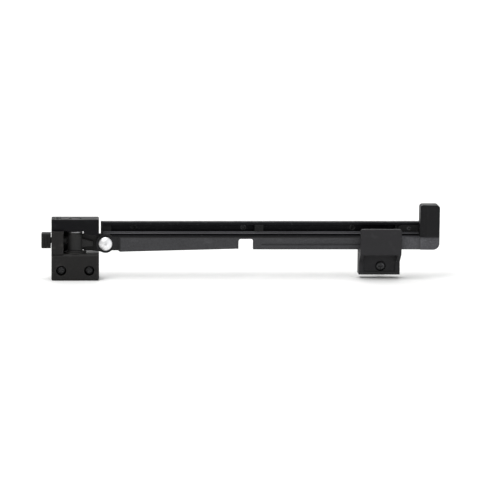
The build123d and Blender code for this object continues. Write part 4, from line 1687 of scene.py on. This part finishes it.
# ---------------------------------------------------------------- studio
@dataclass
class Softbox:
    """One area light. Its place and its aim are offsets from the object's middle."""

    name: str
    place: Point
    size: float
    watts: float
    tint: Colour = (1.0, 1.0, 1.0)
    aim: Point = (0.0, 0.0, 0.0)

    def hang(self, target: Vector) -> None:
        """Puts the light up.

        Args:
            target: the object's middle.
        """
        data = bpy.data.lights.new(self.name, "AREA")
        data.shape, data.size, data.energy, data.color = "SQUARE", self.size, self.watts, self.tint
        lamp = bpy.data.objects.new(self.name, data)
        bpy.context.scene.collection.objects.link(lamp)
        lamp.location = target + Vector(self.place)
        beam = Vector(self.aim) - Vector(self.place)
        lamp.rotation_euler = beam.to_track_quat("-Z", "Y").to_euler()


@dataclass
class Studio:
    """A pale curved floor, soft lights and the camera."""

    azimuth_deg: float = -3.3
    elevation_deg: float = 8.0
    distance: float = 2.0
    roll_deg: float = 0.45
    lens: float = 208.0
    floor_gap: float = 0.0001
    bend_radius: float = 0.6
    bend_steps: int = 16
    front_y: float = -4.5
    wall_y: float = 2.7
    wall_height: float = 4.0
    half_width: float = 4.5
    air_strength: float = 0.35
    sight: float = 20.0
    lights: tuple[Softbox, ...] = (
        Softbox("key_light", (-0.7, -1.0, 1.5), 1.0, 20.0),
        Softbox("fill_light", (1.3, -1.2, 0.6), 1.2, 6.0, (0.96, 0.98, 1.0)),
        Softbox("top_light", (0.0, 0.1, 1.5), 1.4, 14.0),
        Softbox("backdrop_light", (0.0, 2.1, 1.7), 2.0, 40.0, aim=(0.0, 2.4, 0.0)),
    )

    def floor(self, height: float) -> None:
        """Makes the floor, which curves up into a wall behind.

        Args:
            height: the floor's height in metres.
        """
        path = [(self.front_y, height)]
        for i in range(self.bend_steps + 1):
            turn = i / self.bend_steps * math.pi / 2
            path.append(
                (
                    self.wall_y + self.bend_radius * math.sin(turn),
                    height + self.bend_radius * (1.0 - math.cos(turn)),
                )
            )
        path.append((self.wall_y + self.bend_radius, height + self.wall_height))
        verts = [(x, y, z) for y, z in path for x in (-self.half_width, self.half_width)]
        faces = [(2 * i, 2 * i + 1, 2 * i + 3, 2 * i + 2) for i in range(len(path) - 1)]
        mesh = bpy.data.meshes.new("studio_floor")
        mesh.from_pydata(verts, [], faces)
        for face in mesh.polygons:
            face.use_smooth = True
        mesh.materials.append(PaleFloor().material())
        made = new_object("studio_floor", mesh)
        made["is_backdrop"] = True

    def air(self) -> None:
        """Fills the surroundings with even white light."""
        world = bpy.data.worlds.new("studio_air")
        bpy.context.scene.world = world
        world.use_nodes = True
        backdrop = world.node_tree.nodes["Background"]
        backdrop.inputs["Color"].default_value = (1.0, 1.0, 1.0, 1.0)
        backdrop.inputs["Strength"].default_value = self.air_strength

    def camera(self, target: Vector) -> None:
        """Sets the camera up.

        Args:
            target: the point that it looks at.
        """
        data = bpy.data.cameras.new("studio_camera")
        data.lens, data.clip_end = self.lens, self.sight
        camera = bpy.data.objects.new("studio_camera", data)
        bpy.context.scene.collection.objects.link(camera)
        turn, rise = math.radians(self.azimuth_deg), math.radians(self.elevation_deg)
        away = Vector(
            (math.sin(turn) * math.cos(rise), -math.cos(turn) * math.cos(rise), math.sin(rise))
        )
        camera.location = target + away * self.distance
        level = (-away).to_track_quat("-Z", "Y").to_matrix()
        roll = Matrix.Rotation(math.radians(self.roll_deg), 3, "Z")
        camera.rotation_euler = (level @ roll).to_euler()
        bpy.context.scene.camera = camera

    def build(self) -> None:
        """Sets up the floor, the lights, the surroundings and the camera."""
        low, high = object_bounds()
        target = (low + high) / 2
        self.floor(low.z - self.floor_gap)
        for light in self.lights:
            light.hang(target)
        self.air()
        self.camera(target)
        bpy.context.scene.view_settings.view_transform = "Standard"


def main() -> None:
    """Builds and dresses each sub-assembly, then the studio."""
    logging.basicConfig(level=logging.INFO, format="%(name)s: %(message)s")
    for part in (
        FrameBracket(),
        Swivel(),
        StayArm(),
        ElbowGrip(),
        FrictionShoe(),
        SashTrack(),
        Keeper(),
    ):
        part.build()
        part.dress()
    Studio().build()


if __name__ == "__main__":
    main()
